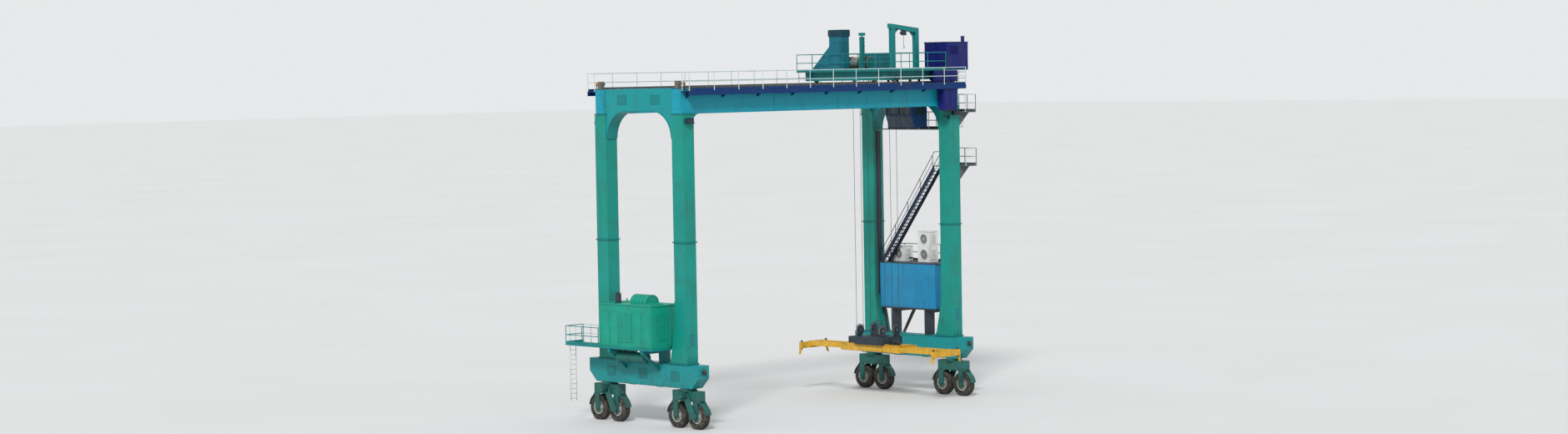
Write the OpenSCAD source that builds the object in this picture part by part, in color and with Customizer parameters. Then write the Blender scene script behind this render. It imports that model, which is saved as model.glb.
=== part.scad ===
// Rubber tyred gantry crane for a container yard.
// X runs across the lane, Y along the lane, Z up. Millimetres.
// The origin is on the ground, under the middle of the crane.

/* [Portal] */
// Distance between leg centres across the lane
span = 23470; // [17000:10:27000]
// Distance between leg centres along the lane
base = 7000; // [6400:10:8000]
// Height of the girder tops
top_z = 20400; // [18000:10:24000]
// Leg size across the lane
leg_x = 900; // [700:10:1200]
// Leg size along the lane
leg_y = 1000; // [700:10:1300]
// Widening of the leg foot towards the middle of the frame
foot_out = 520; // [0:10:800]
// Height over which the leg foot widens
foot_h = 2400; // [800:10:4000]
// Depth of the main girders
girder_h = 1500; // [1100:10:1900]
// Width of the main girders
girder_w = 800; // [600:10:1000]
// Radius of the haunch between girder and leg
haunch_r = 620; // [200:10:1200]
// Depth of the portal beam that joins the two legs of a side
portal_h = 1350; // [900:10:1800]
// Width of the portal beam
portal_w = 800; // [500:10:900]
// Radius of the portal arch corners
arch_r = 1650; // [400:10:2400]
// Thickness left beside the arch
arch_t = 70; // [30:5:200]

/* [Sill beams] */
// Height of the sill beam underside
sill_z = 2450; // [2200:10:3000]
// Depth of the sill beams
sill_h = 1400; // [900:10:1700]
// Width of the sill beams
sill_w = 900; // [700:10:1200]
// Overhang of the sill beam past the leg centre
sill_out = 1450; // [1000:10:2000]
// Height of the sloped end of the sill beam
sill_cut = 620; // [200:10:900]
// Side of the square jacking pads
pad_s = 500; // [300:10:800]
// Thickness of the jacking pads
pad_t = 60; // [30:5:120]
// Distance of a jacking pad from the middle of the sill
pad_y = 1250; // [700:10:1500]

/* [Bogies and wheels] */
// Outward offset of the steering axis from the leg centre
bogie_out = 100; // [0:10:400]
// Distance between the two axles of a bogie
axle_gap = 1750; // [1700:10:2400]
// Tyre diameter
tyre_d = 1560; // [1300:10:1700]
// Tyre width
tyre_w = 430; // [350:10:560]
// Radius of the tyre shoulders
tyre_r = 95; // [40:5:140]
// Rim diameter
rim_d = 800; // [600:10:1000]
// Hub diameter
hub_d = 420; // [300:10:560]
// Axle diameter
axle_d = 180; // [120:5:240]
// Radial clearance of a wheel on its axle
axle_fit = 0.5; // [0.2:0.1:1]
// Side clearance of a hub in its fork
hub_fit = 0.6; // [0.3:0.1:2]
// Clearance between tyre and fork plate
fork_gap = 45; // [20:5:90]
// Thickness of the fork plates
fork_t = 45; // [25:5:80]
// Clearance between tyre and bogie beam
tyre_gap = 110; // [50:5:200]
// Radius of the fork end round the axle
fork_r = 215; // [130:5:300]
// Slewing ring diameter
ring_d = 980; // [700:10:1200]
// Slewing ring height
ring_h = 160; // [80:10:250]
// Running gap over the slewing ring
ring_fit = 0.3; // [0.2:0.1:1]

/* [Girder top] */
// Height of the trolley rails
rail_h = 130; // [90:5:180]
// Width of the rail foot
rail_foot = 150; // [110:5:200]
// Width of the rail head
rail_head = 80; // [60:5:120]
// Length of the end stops on the rails
stop_l = 260; // [150:10:500]
// Height of the end stops over the girder
stop_h = 480; // [300:10:700]
// Clear width of the walkways beside the girders
walk_w = 750; // [500:10:1000]
// Depth of the walkway floor below the girder top
walk_drop = 120; // [50:10:400]
// Thickness of the walkway floor
walk_t = 50; // [30:5:90]
// Height of the handrails
rail_z = 1100; // [900:10:1200]
// Diameter of the handrail tubes
tube_d = 48; // [34:1:70]
// Height of the toe boards
toe_h = 150; // [80:5:250]
// Thickness of the toe boards
toe_t = 12; // [6:1:30]
// Number of handrail posts along a girder
posts = 13; // [9:1:25]
// Number of brackets under a walkway
brackets = 9; // [5:1:15]
// Depth of the edge channel under a walkway
fascia_h = 230; // [60:10:350]
// Width of the edge channel under a walkway
fascia_w = 60; // [30:5:100]

/* [Power house] */
// Height of the floor that carries the power house
power_z = 4700; // [4200:10:5200]
// Length of the power house along the lane
power_l = 4700; // [3600:10:4900]
// Height of the power house
power_h = 2650; // [2000:10:3200]
// Overhang of the house floors past the leg outer face
house_out = 1460; // [800:10:1900]
// Floor thickness of the house platforms
floor_t = 100; // [60:5:160]
// Distance of the platform beams from the middle of the frame
floor_y = 1500; // [1000:10:1900]
// Length of the platform past the far leg
power_past = 1500; // [500:10:2200]
// Diameter of the exhaust stack
stack_d = 260; // [150:10:400]
// Height of the exhaust stack over the roof
stack_h = 620; // [300:10:900]
// Radius of the arched air intake on the roof
hood_r = 520; // [300:10:700]
// Length of the arched air intake
hood_l = 1400; // [800:10:2000]

/* [Electrical house] */
// Height of the floor that carries the electrical house
elec_z = 5500; // [4400:10:5800]
// Length of the electrical house along the lane
elec_l = 4900; // [3600:10:5000]
// Height of the electrical house
elec_h = 2900; // [2200:10:3400]
// Length of an air conditioner
cool_l = 1050; // [600:10:1400]
// Width of an air conditioner
cool_w = 780; // [400:10:1000]
// Height of an air conditioner
cool_h = 1020; // [500:10:1200]

/* [Access] */
// Height of the landing at the head of the stair
landing_z = 15000; // [13000:10:16000]
// Clear width of the stair
stair_w = 640; // [500:10:800]
// Rise of one step
step_rise = 230; // [180:5:260]
// Depth of one tread
tread_d = 200; // [150:5:280]
// Length between the legs that the landings leave to the stair
stair_head = 1100; // [900:10:1600]
// Depth of the stair strings
string_h = 260; // [180:10:350]
// Thickness of the stair strings
string_t = 30; // [12:1:50]
// Floor thickness of the landings
deck_t = 60; // [40:5:100]
// Drop of the boarding landing below the foot of the arch
board_drop = 10; // [0:10:400]
// Height of the upper landing outside the leg
upper_z = 18500; // [18000:10:19000]
// Outward reach of the landings past the leg
reach = 1080; // [800:10:1300]
// Width of the ladders
ladder_w = 460; // [380:10:600]
// Diameter of the ladder rungs
rung_d = 32; // [20:1:45]
// Distance between ladder rungs
rung_gap = 300; // [250:10:350]
// Distance of a ladder from the face that carries it
ladder_off = 190; // [150:10:260]

/* [Trolley] */
// Distance of the hoist centre at rest from the right leg centre
hoist_in = 3335; // [3200:5:6000]
// Half length of the trolley frame across the lane
car_x = 2600; // [2500:10:3000]
// Overhang of the trolley deck past the frame towards the right
deck_over = 1750; // [400:10:1900]
// Overhang of the trolley deck past the rails
deck_side = 800; // [500:10:900]
// Trolley wheel diameter
twheel_d = 560; // [400:10:700]
// Running gap between trolley wheel and rail
rail_fit = 0.3; // [0.2:0.1:1]
// Distance between trolley axles
taxle_gap = 3600; // [3000:10:4000]
// Depth of the trolley frame
car_h = 560; // [400:10:700]
// Width of the end carriages
car_w = 440; // [350:10:600]
// Width of the cross beams
cross_w = 300; // [200:10:400]
// Distance of the inner cross beams from the hoist centre
cross_in = 1450; // [1250:10:1700]
// Thickness of the trolley deck
plate_t = 60; // [30:5:90]
// Radius of the rope sheaves
sheave_r = 300; // [200:10:400]
// Width of the rope sheaves
sheave_w = 110; // [70:5:160]
// Distance of the sheaves from the hoist centre across the lane
sheave_x = 650; // [500:10:800]
// Distance of the sheaves from the hoist centre along the lane
sheave_y = 1000; // [700:10:1300]
// Diameter of the hoist ropes
rope_d = 28; // [20:1:40]
// Diameter of the hoist drum
drum_d = 820; // [600:10:1000]
// Length of the hoist drum
drum_l = 2500; // [1800:10:3200]
// Height of the trolley house
thouse_h = 1750; // [1400:10:2600]
// Length of the trolley house across the lane
thouse_x = 2000; // [1500:10:2400]
// Length of the trolley house along the lane
thouse_y = 1950; // [1500:10:3000]
// Height of the capped machine box
mbox_h = 2650; // [1800:10:2900]
// Size of the machine box across the lane
mbox_x = 720; // [500:10:760]
// Size of the machine box along the lane
mbox_y = 1100; // [700:10:1200]
// Height of the cap of the machine box
mcap_h = 400; // [200:10:600]
// Overhang of the cap of the machine box
mcap_o = 50; // [20:5:80]
// Reach of the sloped brace beside the machine box
brace_l = 1800; // [1200:10:2000]
// Length of the gearbox across the lane
gear_x = 850; // [600:10:900]
// Length of the gearbox along the lane
gear_y = 510; // [300:10:560]
// Diameter of the hoist motor
motor_d = 460; // [300:10:560]
// Length of the hoist motor
motor_l = 800; // [600:10:1000]
// Height of the service gantry posts
gantry_h = 3000; // [2200:10:3200]
// Distance of the service gantry foot from the hoist centre across the lane
gantry_in = 950; // [600:10:1200]
// Distance of the service gantry from the hoist centre along the lane
gantry_y = 2600; // [2500:10:3000]
// Distance of the short post from the service gantry along the lane
mast_y = 1500; // [1000:10:1800]
// Width of the lamp on the short post
mast_w = 500; // [200:10:700]
// Height of the short post on the deck
mast_h = 2250; // [1500:10:2600]
// Clear span of the service gantry
gantry_l = 2200; // [1600:10:2600]
// Section of the service gantry
gantry_s = 300; // [150:10:320]
// Size of the resistor chest across the lane
chest_x = 1000; // [600:10:1200]
// Size of the resistor chest along the lane
chest_y = 1700; // [1000:10:1800]
// Height of the resistor chest
chest_h = 1050; // [600:10:1500]

/* [Cabin] */
// Height of the cabin floor underside
cabin_z = 17500; // [17200:10:17900]
// Height of the cabin
cabin_h = 2200; // [1900:10:2500]
// Width of the cabin across the lane
cabin_x = 1450; // [1200:10:1480]
// Length of the cabin along the lane
cabin_y = 2350; // [1800:10:2700]
// Distance of the cabin from the hoist centre
cabin_off = 1340; // [1280:10:1500]
// Distance of the near cabin wall from the hoist centre along the lane
cabin_near = 2050; // [1500:10:2700]
// Thickness of the cabin walls
cabin_t = 60; // [40:5:90]
// Slope of the cabin front at its foot
cabin_rake = 320; // [100:10:500]
// Section of the cabin hangers
hanger_s = 130; // [80:5:200]

/* [Spreader] */
// Height of the spreader corners at rest, over one container
lock_z = 2900; // [2700:10:6000]
// Distance between the locks along the lane when extended
lock_l = 11985; // [11000:5:12000]
// Distance between the locks across the lane
lock_w = 2259; // [2200:1:2300]
// Half length of the fixed spreader frame
frame_l = 2650; // [2200:10:2700]
// Depth of the spreader frame
frame_h = 460; // [350:10:560]
// Width of a telescopic beam
beam_w = 190; // [140:5:220]
// Depth of a telescopic beam
beam_h = 300; // [220:10:340]
// Clearance beside and over a telescopic beam
beam_fit = 8; // [4:1:15]
// Running gap under a telescopic beam
beam_seat = 0.3; // [0.2:0.1:1]
// Distance from the spreader centre to the outer beams
beam_out = 620; // [560:10:700]
// Distance from the spreader centre to the inner beams
beam_in = 350; // [300:10:400]
// Length of beam that stays in the frame when extended
beam_in_l = 800; // [500:10:1200]
// Width of the end beams
end_w = 250; // [200:10:320]
// Depth of the end beams
end_h = 400; // [300:10:450]
// Side of the corner pads
corner_s = 230; // [180:5:260]
// Length of the twist locks below the pads
lock_h = 110; // [70:5:130]
// Diameter of the twist locks
lock_d = 60; // [45:1:70]
// Height of the head block
head_h = 520; // [350:10:700]
// Half width of the head block
head_x = 960; // [850:10:1100]
// Half length of the head block
head_y = 1250; // [1100:10:1500]

/* [Hidden] */
sill_top = sill_z + sill_h;
girder_z = top_z - girder_h;
outer_x = span / 2 + leg_x / 2;
inner_x = span / 2 - leg_x / 2;
inner_y = base / 2 - leg_y / 2;
girder_in = base / 2 - girder_w / 2;
girder_out = base / 2 + girder_w / 2;
portal_z = top_z - portal_h;
rail_top = top_z + rail_h;
walk_z = top_z - walk_drop;
axle_z = tyre_d / 2;
bogie_y = base / 2 + bogie_out;
fork_in = tyre_w / 2 + fork_gap;
fork_out = fork_in + fork_t;
beam_z = tyre_d + tyre_gap;
ring_z = sill_z - ring_h;
hoist_x = span / 2 - hoist_in;
board_z = portal_z - arch_r - board_drop;
plat_x = outer_x + house_out;
house_x = plat_x - 110;
twheel_z = rail_top + rail_fit + twheel_d / 2;
car_z = twheel_z - 170;
car_top = car_z + car_h;
deck_z = car_top + plate_t;
deck_y = base / 2 + deck_side;
sheave_z = car_top - 210;
head_z = lock_z + 60 + frame_h;
head_top = head_z + head_h;
low_sheave_z = head_top + sheave_r + 90;
cabin_y0 = -cabin_near;
cabin_top = cabin_z + cabin_h;
roof_z = elec_z + floor_t + elec_h;
roof_top = roof_z + deck_t;
stair_rise = landing_z - roof_top;
stair_run = 2 * inner_y - stair_head;
steps = round(stair_rise / step_rise);

// A block between two corners.
module block(x0, x1, y0, y1, z0, z1) {
  translate([x0, y0, z0])
    cube([x1 - x0, y1 - y0, z1 - z0]);
}

// An outline in Y and Z, extruded across the lane from x0 to x1.
module across(x0, x1) {
  translate([x0, 0, 0])
    rotate([90, 0, 90])
      linear_extrude(x1 - x0)
        children();
}

// An outline in X and Z, extruded along the lane from y0 to y1.
module along(y0, y1) {
  translate([0, y1, 0])
    rotate([90, 0, 0])
      linear_extrude(y1 - y0)
        children();
}

// A tube along X, Y or Z.
module tube_x(x0, x1, y, z, d = tube_d) {
  translate([x0, y, z])
    rotate([0, 90, 0])
      cylinder(h = x1 - x0, d = d, $fn = 24);
}
module tube_y(x, y0, y1, z, d = tube_d) {
  translate([x, y0, z])
    rotate([-90, 0, 0])
      cylinder(h = y1 - y0, d = d, $fn = 24);
}
module tube_z(x, y, z0, z1, d = tube_d) {
  translate([x, y, z0])
    cylinder(h = z1 - z0, d = d, $fn = 24);
}

// A handrail along X with n posts, a knee rail and a toe board.
module guard_x(x0, x1, y, z, n) {
  for (i = [0 : n - 1])
    tube_z(x0 + tube_d / 2 + i * (x1 - x0 - tube_d) / (n - 1), y, z, z + rail_z);
  tube_x(x0, x1, y, z + rail_z);
  tube_x(x0, x1, y, z + rail_z / 2);
  block(x0, x1, y - toe_t / 2, y + toe_t / 2, z, z + toe_h);
}

// A handrail along Y with n posts, a knee rail and a toe board.
module guard_y(x, y0, y1, z, n) {
  for (i = [0 : n - 1])
    tube_z(x, y0 + tube_d / 2 + i * (y1 - y0 - tube_d) / (n - 1), z, z + rail_z);
  tube_y(x, y0, y1, z + rail_z);
  tube_y(x, y0, y1, z + rail_z / 2);
  block(x - toe_t / 2, x + toe_t / 2, y0, y1, z, z + toe_h);
}

// One leg with its inner faces towards +X and +Y.
module leg_body() {
  across(-leg_x / 2, leg_x / 2)
    polygon([
      [-leg_y / 2, sill_top],
      [leg_y / 2 + foot_out, sill_top],
      [leg_y / 2, sill_top + foot_h],
      [leg_y / 2, girder_z],
      [-leg_y / 2, girder_z]
    ]);
  along(-girder_w / 2, girder_w / 2)
    difference() {
      translate([leg_x / 2, girder_z - haunch_r])
        square(haunch_r);
      translate([leg_x / 2 + haunch_r, girder_z - haunch_r])
        circle(haunch_r, $fn = 60);
    }
}
module leg_at(sx, sy) {
  translate([sx * span / 2, sy * base / 2, 0])
    mirror([sx > 0 ? 1 : 0, 0, 0])
      mirror([0, sy > 0 ? 1 : 0, 0])
        leg_body();
}
module leg_left_near() {
  color("SeaGreen") leg_at(-1, -1);
}
module leg_left_far() {
  color("SeaGreen") leg_at(-1, 1);
}
module leg_right_near() {
  color("SeaGreen") leg_at(1, -1);
}
module leg_right_far() {
  color("SeaGreen") leg_at(1, 1);
}

// Portal beam between the legs of one side, with an arched underside.
module portal_at(sx) {
  arch_w = inner_y - arch_t;
  across(sx * span / 2 - portal_w / 2, sx * span / 2 + portal_w / 2)
    difference() {
      union() {
        translate([-girder_in, girder_z])
          square([2 * girder_in, girder_h]);
        translate([-inner_y, portal_z - arch_r])
          square([2 * inner_y, girder_z - portal_z + arch_r]);
      }
      translate([-arch_w, portal_z - arch_r - 10])
        square([2 * arch_w, 10]);
      translate([-arch_w + arch_r, portal_z - arch_r - 10])
        square([2 * (arch_w - arch_r), arch_r + 10]);
      for (s = [-1, 1])
        translate([s * (arch_w - arch_r), portal_z - arch_r])
          circle(arch_r, $fn = 90);
    }
}
module portal_left() {
  color("MediumSeaGreen") portal_at(-1);
}
module portal_right() {
  color("MediumSeaGreen") portal_at(1);
}

// Sill beam with sloped ends and two jacking pads.
module sill_at(sx) {
  sill_y = base / 2 + sill_out;
  across(sx * span / 2 - sill_w / 2, sx * span / 2 + sill_w / 2)
    polygon([
      [-sill_y + sill_cut, sill_z],
      [sill_y - sill_cut, sill_z],
      [sill_y, sill_z + sill_cut],
      [sill_y, sill_top],
      [-sill_y, sill_top],
      [-sill_y, sill_z + sill_cut]
    ]);
  for (s = [-1, 1])
    block(sx * span / 2 - pad_s / 2, sx * span / 2 + pad_s / 2,
      s * pad_y - pad_s / 2, s * pad_y + pad_s / 2, sill_z - pad_t, sill_z);
}
module sill_left() {
  color("Teal") sill_at(-1);
}
module sill_right() {
  color("Teal") sill_at(1);
}

// Main girder over the legs of one frame.
module girder_at(sy) {
  block(-outer_x, outer_x, sy * base / 2 - girder_w / 2,
    sy * base / 2 + girder_w / 2, girder_z, top_z);
}
module girder_near() {
  color("LightSeaGreen") girder_at(-1);
}
module girder_far() {
  color("LightSeaGreen") girder_at(1);
}

// Rails with foot, web and head, and the stops at their ends.
module trolley_rails() {
  color("DimGray")
    for (s = [-1, 1])
      translate([0, s * base / 2, 0]) {
        block(-outer_x + stop_l, outer_x - stop_l, -rail_foot / 2, rail_foot / 2,
          top_z, top_z + rail_h * 0.2);
        block(-outer_x + stop_l, outer_x - stop_l, -rail_head / 4, rail_head / 4,
          top_z, rail_top);
        block(-outer_x + stop_l, outer_x - stop_l, -rail_head / 2, rail_head / 2,
          rail_top - rail_h * 0.3, rail_top);
        for (e = [-1, 1])
          translate([e * (outer_x - stop_l / 2), 0, 0])
            block(-stop_l / 2, stop_l / 2, -rail_foot, rail_foot,
              top_z, top_z + stop_h);
      }
}

// Walkway outside one girder, on triangular brackets.
module walkway_at(sy) {
  y0 = girder_out;
  y1 = girder_out + walk_w;
  mirror([0, sy < 0 ? 1 : 0, 0]) {
    block(-outer_x, outer_x, y0, y1, walk_z - walk_t, walk_z);
    guard_x(-outer_x, outer_x, y1 - tube_d / 2, walk_z, posts);
    block(-outer_x, outer_x, y1 - fascia_w, y1 - 5, walk_z - walk_t - fascia_h, walk_z - walk_t);
    for (i = [0 : brackets - 1])
      across(-outer_x + 400 + i * (2 * outer_x - 800) / (brackets - 1) - 20,
        -outer_x + 400 + i * (2 * outer_x - 800) / (brackets - 1) + 20)
        polygon([
          [y0, walk_z - walk_t],
          [y0, walk_z - walk_t - 420],
          [y1 - fascia_w + 1, walk_z - walk_t - 60],
          [y1 - fascia_w + 1, walk_z - walk_t]
        ]);
  }
}
module walkway_near() {
  color("SlateGray") walkway_at(-1);
}
module walkway_far() {
  color("SlateGray") walkway_at(1);
}

// Power house on the left frame, with roof cap and exhaust stack.
module power_house() {
  z0 = power_z + floor_t;
  color("Green") {
    block(-house_x, -inner_x - 20, -power_l / 2, power_l / 2, z0, z0 + power_h - 80);
    block(-house_x - 40, -inner_x, -power_l / 2 - 40, power_l / 2 + 40,
      z0 + power_h - 80, z0 + power_h);
    tube_z(-house_x + 500, power_l / 4, z0 + power_h, z0 + power_h + stack_h, stack_d);
    translate([-(house_x + inner_x) / 2 + 70, 0, z0 + power_h])
      along(-hood_l * 0.82, hood_l * 0.18)
        intersection() {
          circle(hood_r, $fn = 60);
          translate([-hood_r, 0])
            square([2 * hood_r, hood_r]);
        }
  }
}

// Floor frame under a house: floor plate and beams down to the sill.
module house_floor(z, y0, y1) {
  block(outer_x + 10, plat_x, y0, y1, z, z + floor_t);
  block(inner_x, outer_x + 10, -inner_y + foot_out, inner_y - foot_out, z, z + floor_t);
  for (s = [-1, 1])
    block(inner_x + 60, plat_x - 40, s * floor_y - 100, s * floor_y + 100, z - 220, z);
  for (s = [-1, 1])
    block(inner_x + 60, outer_x - 60, s * floor_y - 100, s * floor_y + 100, sill_top, z - 220);
  for (s = [-1, 1])
    along(s * floor_y - 60, s * floor_y + 60)
      polygon([
        [outer_x, sill_top - 500],
        [outer_x, sill_top - 250],
        [plat_x - 300, z - 220],
        [plat_x - 60, z - 220]
      ]);
}
module power_platform() {
  y_end = base / 2 + leg_y / 2 + power_past;
  color("DarkSeaGreen")
    mirror([1, 0, 0]) {
      house_floor(power_z, -power_l / 2 - 100, y_end);
      guard_y(plat_x - tube_d / 2, power_l / 2 + 60, y_end, power_z + floor_t, 3);
      guard_x(outer_x + 10, plat_x, y_end - tube_d / 2, power_z + floor_t, 2);
    }
}

// Electrical house on the right frame.
module electrical_house() {
  z0 = elec_z + floor_t;
  color("CadetBlue")
    block(inner_x + 20, house_x, -elec_l / 2, elec_l / 2, z0, roof_z);
}
module electrical_platform() {
  color("SlateGray") {
    house_floor(elec_z, -elec_l / 2 - 100, elec_l / 2 + 100);
    block(inner_x, plat_x, -elec_l / 2 - 40, elec_l / 2 + 40, roof_z, roof_top);
    guard_y(plat_x - tube_d / 2, -elec_l / 2 - 40, elec_l / 2 + 40, roof_top, 4);
    guard_x(outer_x + 60, plat_x, -elec_l / 2 - 40 + tube_d / 2, roof_top, 2);
    guard_x(outer_x + 60, plat_x, elec_l / 2 + 40 - tube_d / 2, roof_top, 2);
  }
}
module air_conditioners() {
  color("White") {
    block(outer_x + 150, outer_x + 150 + cool_w, elec_l / 2 - 150 - cool_l, elec_l / 2 - 150,
      roof_top, roof_top + cool_h);
    block(outer_x + 150, outer_x + 150 + cool_w, -cool_l, 0,
      roof_top, roof_top + 2 * cool_h);
  }
}

// Stair in the plane of the right frame, up to the landing.
module stair() {
  xc = span / 2;
  y0 = stair_run / 2;
  dy = stair_run / steps;
  dz = stair_rise / steps;
  color("Gray") {
    for (s = [-1, 1])
      across(xc + s * (stair_w / 2 + string_t / 2) - string_t / 2,
        xc + s * (stair_w / 2 + string_t / 2) + string_t / 2)
        polygon([
          [y0 + 120, roof_top],
          [y0 - 220, roof_top],
          [-y0, landing_z - deck_t - string_h],
          [-y0, landing_z - deck_t],
          [-y0 + 120, landing_z - deck_t]
        ]);
    for (i = [1 : steps - 1])
      block(xc - stair_w / 2, xc + stair_w / 2,
        y0 - i * dy - tread_d / 2 + 60, y0 - i * dy + tread_d / 2 + 60,
        roof_top + i * dz - 190, roof_top + i * dz - 150);
    for (s = [-1, 1])
      for (i = [0 : 4])
        tube_z(xc + s * (stair_w / 2 + string_t / 2), y0 - 150 - i * (stair_run - 300) / 4,
          roof_top + 60 + i * (stair_rise - 260) / 4 * 1.0,
          roof_top + 60 + i * (stair_rise - 260) / 4 + 900, 40);
  }
}

// Landings at the head of the stair and under the walkway.
module landings() {
  x1 = outer_x + reach;
  y_end = -base / 2 - leg_y / 2 - 500;
  color("DarkSlateGray") {
    block(inner_x + 60, outer_x + 1, -inner_y, -stair_run / 2, landing_z - deck_t, landing_z);
    block(outer_x + 1, x1, y_end, -stair_run / 2, landing_z - deck_t, landing_z);
    guard_y(x1 - tube_d / 2, y_end, -stair_run / 2, landing_z, 3);
    block(outer_x + 1, x1, y_end, -inner_y, upper_z - deck_t, upper_z);
    guard_y(x1 - tube_d / 2, y_end, -inner_y, upper_z, 3);
    for (z = [landing_z, upper_z])
      for (s = [-1, 1])
        along(-base / 2 + s * (leg_y / 2 - 60) - 20, -base / 2 + s * (leg_y / 2 - 60) + 20)
          polygon([
            [outer_x, z - deck_t],
            [outer_x, z - deck_t - 900],
            [x1 - 100, z - deck_t]
          ]);
  }
}

// Landing beside the cabin, where the driver boards it.
module boarding_landing() {
  x1 = outer_x + reach;
  color("DarkSlateGray") {
    block(inner_x + 100, outer_x - 100, -inner_y, inner_y, board_z - deck_t, board_z);
    block(outer_x - 101, x1, -inner_y + 10, -stair_run / 2 + 400, board_z - deck_t, board_z);
    guard_y(outer_x - 100 - tube_d / 2, -stair_run / 2 + 400 - tube_d, stair_run / 2 - 120, board_z, 5);
    guard_x(outer_x - 100 - tube_d, x1, -stair_run / 2 + 400 - tube_d / 2, board_z, 3);
    guard_y(x1 - tube_d / 2, -inner_y + 10, -stair_run / 2 + 400, board_z, 2);
  }
}

// Ladder with stiles and rungs; it faces +X.
module ladder(x, y, z0, z1) {
  for (s = [-1, 1])
    block(x - 30, x + 30, y + s * ladder_w / 2 - 6, y + s * ladder_w / 2 + 6, z0, z1);
  for (i = [1 : floor((z1 - z0 - 80) / rung_gap)])
    tube_y(x, y - ladder_w / 2, y + ladder_w / 2, z0 + i * rung_gap, rung_d);
}
module ladders() {
  color("LightGray") {
    ladder(outer_x + ladder_off, -base / 2, landing_z, upper_z - deck_t);
    for (z = [landing_z + 600, upper_z - deck_t - 600])
      for (s = [-1, 1])
        block(outer_x, outer_x + ladder_off - 30,
          -base / 2 + s * ladder_w / 2 - 6, -base / 2 + s * ladder_w / 2 + 6,
          z, z + 60);
  }
}

// Floodlights and short posts at the corners of the portal tops.
module floodlights() {
  color("Silver")
    for (sx = [-1, 1])
      for (sy = [-1, 1])
        translate([sx * span / 2, sy * (base / 2 + leg_y / 2 + 120), girder_z - 300]) {
          block(-40, 40, -120, 120, -40, 40);
          block(-260, 260, -120, 120, -260, -40);
        }
}

// Trolley frame with wheel pockets in its end carriages.
module trolley_frame() {
  color("MediumSeaGreen")
    translate([hoist_x, 0, 0]) {
      for (s = [-1, 1])
        difference() {
          block(-car_x, car_x, s * base / 2 - car_w / 2, s * base / 2 + car_w / 2,
            car_z, car_top);
          for (e = [-1, 1])
            block(e * taxle_gap / 2 - twheel_d / 2 - 30, e * taxle_gap / 2 + twheel_d / 2 + 30,
              s * base / 2 - 90, s * base / 2 + 90, car_z - 1, twheel_z + twheel_d / 2 + 30);
        }
      for (s = [-1, 1]) {
        block(s * (car_x - cross_w) - cross_w / 2, s * (car_x - cross_w) + cross_w / 2,
          -base / 2 + car_w / 2, base / 2 - car_w / 2, car_z, car_top);
        block(s * cross_in - cross_w / 2, s * cross_in + cross_w / 2,
          -base / 2 + car_w / 2, base / 2 - car_w / 2, car_z, car_top);
      }
      for (s = [-1, 1])
        for (t = [-1, 1])
          block(-cross_in + cross_w / 2, cross_in - cross_w / 2,
            s * sheave_y + t * (sheave_w / 2 + 30) - 20, s * sheave_y + t * (sheave_w / 2 + 30) + 20,
            car_z, car_top);
    }
}

// Trolley wheels on the rails, and the rope sheaves of the trolley.
module trolley_wheels() {
  color("DimGray")
    translate([hoist_x, 0, 0]) {
      for (s = [-1, 1])
        for (e = [-1, 1])
          translate([e * taxle_gap / 2, s * base / 2, twheel_z])
            rotate([90, 0, 0]) {
              cylinder(h = 120, d = twheel_d, center = true, $fn = 72);
              cylinder(h = 180, d = 150, center = true, $fn = 36);
            }
      for (s = [-1, 1])
        for (e = [-1, 1]) {
          tube_y(e * sheave_x, s * sheave_y - sheave_w / 2, s * sheave_y + sheave_w / 2,
            sheave_z, 2 * sheave_r);
          tube_y(e * sheave_x, s * sheave_y - sheave_w / 2 - 10,
            s * sheave_y + sheave_w / 2 + 10, sheave_z, 90);
        }
    }
}

// Deck plate with its rope opening and handrails.
module trolley_deck() {
  color("SlateGray")
    translate([hoist_x, 0, 0]) {
      difference() {
        block(-car_x - 250, car_x + deck_over, -deck_y, deck_y, car_top, deck_z);
        block(-cross_in + cross_w / 2, cross_in - cross_w / 2, -sheave_y - 300, sheave_y + 300,
          car_top - 1, deck_z + 1);
      }
      guard_x(-car_x - 250, car_x + deck_over, deck_y - tube_d / 2, deck_z, 6);
      guard_x(-car_x - 250, car_x + deck_over - thouse_x - 60, -deck_y + tube_d / 2, deck_z, 4);
      guard_y(-car_x - 250 + tube_d / 2, -deck_y, deck_y, deck_z, 7);
    }
}

// Hoist drum on its bearings, with gearbox and motor.
module hoist_drum() {
  dz = deck_z + drum_d / 2 + 60;
  dx = -cross_in - 50;
  color("SteelBlue")
    translate([hoist_x, 0, 0]) {
      tube_y(dx, -drum_l / 2, drum_l / 2, dz, drum_d);
      tube_y(dx, -drum_l / 2 - 200, drum_l / 2 + 200, dz, 160);
      for (s = [-1, 1])
        block(dx - 200, dx + 200, s * (drum_l / 2 + 130) - 60, s * (drum_l / 2 + 130) + 60,
          deck_z, dz + 150);
      block(dx - gear_x / 2, dx + gear_x / 2, drum_l / 2 + 190, drum_l / 2 + 190 + gear_y,
        deck_z, dz + motor_d * 0.76);
      translate([dx + gear_x / 3, drum_l / 2 + 190 + gear_y, deck_z]) {
        tube_y(0, 0, motor_l, motor_d * 0.9, motor_d);
        block(-motor_d * 0.4, motor_d * 0.4, motor_l * 0.08, motor_l * 0.92, 0, motor_d * 0.55);
      }
    }
}

// Tall machine box with a cap, and the low chest at the other end of the deck.
module machine_box() {
  color("DarkCyan") {
    translate([hoist_x + car_x + deck_over - chest_x - 450, deck_y - 400 - chest_y, deck_z])
      block(0, chest_x, 0, chest_y, 0, chest_h);
    translate([hoist_x - car_x - 90, 300, deck_z]) {
      block(0, mbox_x, 0, mbox_y, 0, mbox_h - mcap_h);
      block(-mcap_o, mbox_x + mcap_o, -mcap_o, mbox_y + mcap_o, mbox_h - mcap_h, mbox_h);
      across(mcap_o, mcap_o + 120)
        polygon([
          [mbox_y, 0],
          [mbox_y + brace_l, 0],
          [mbox_y, mbox_h * 0.62]
        ]);
    }
  }
}
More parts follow.
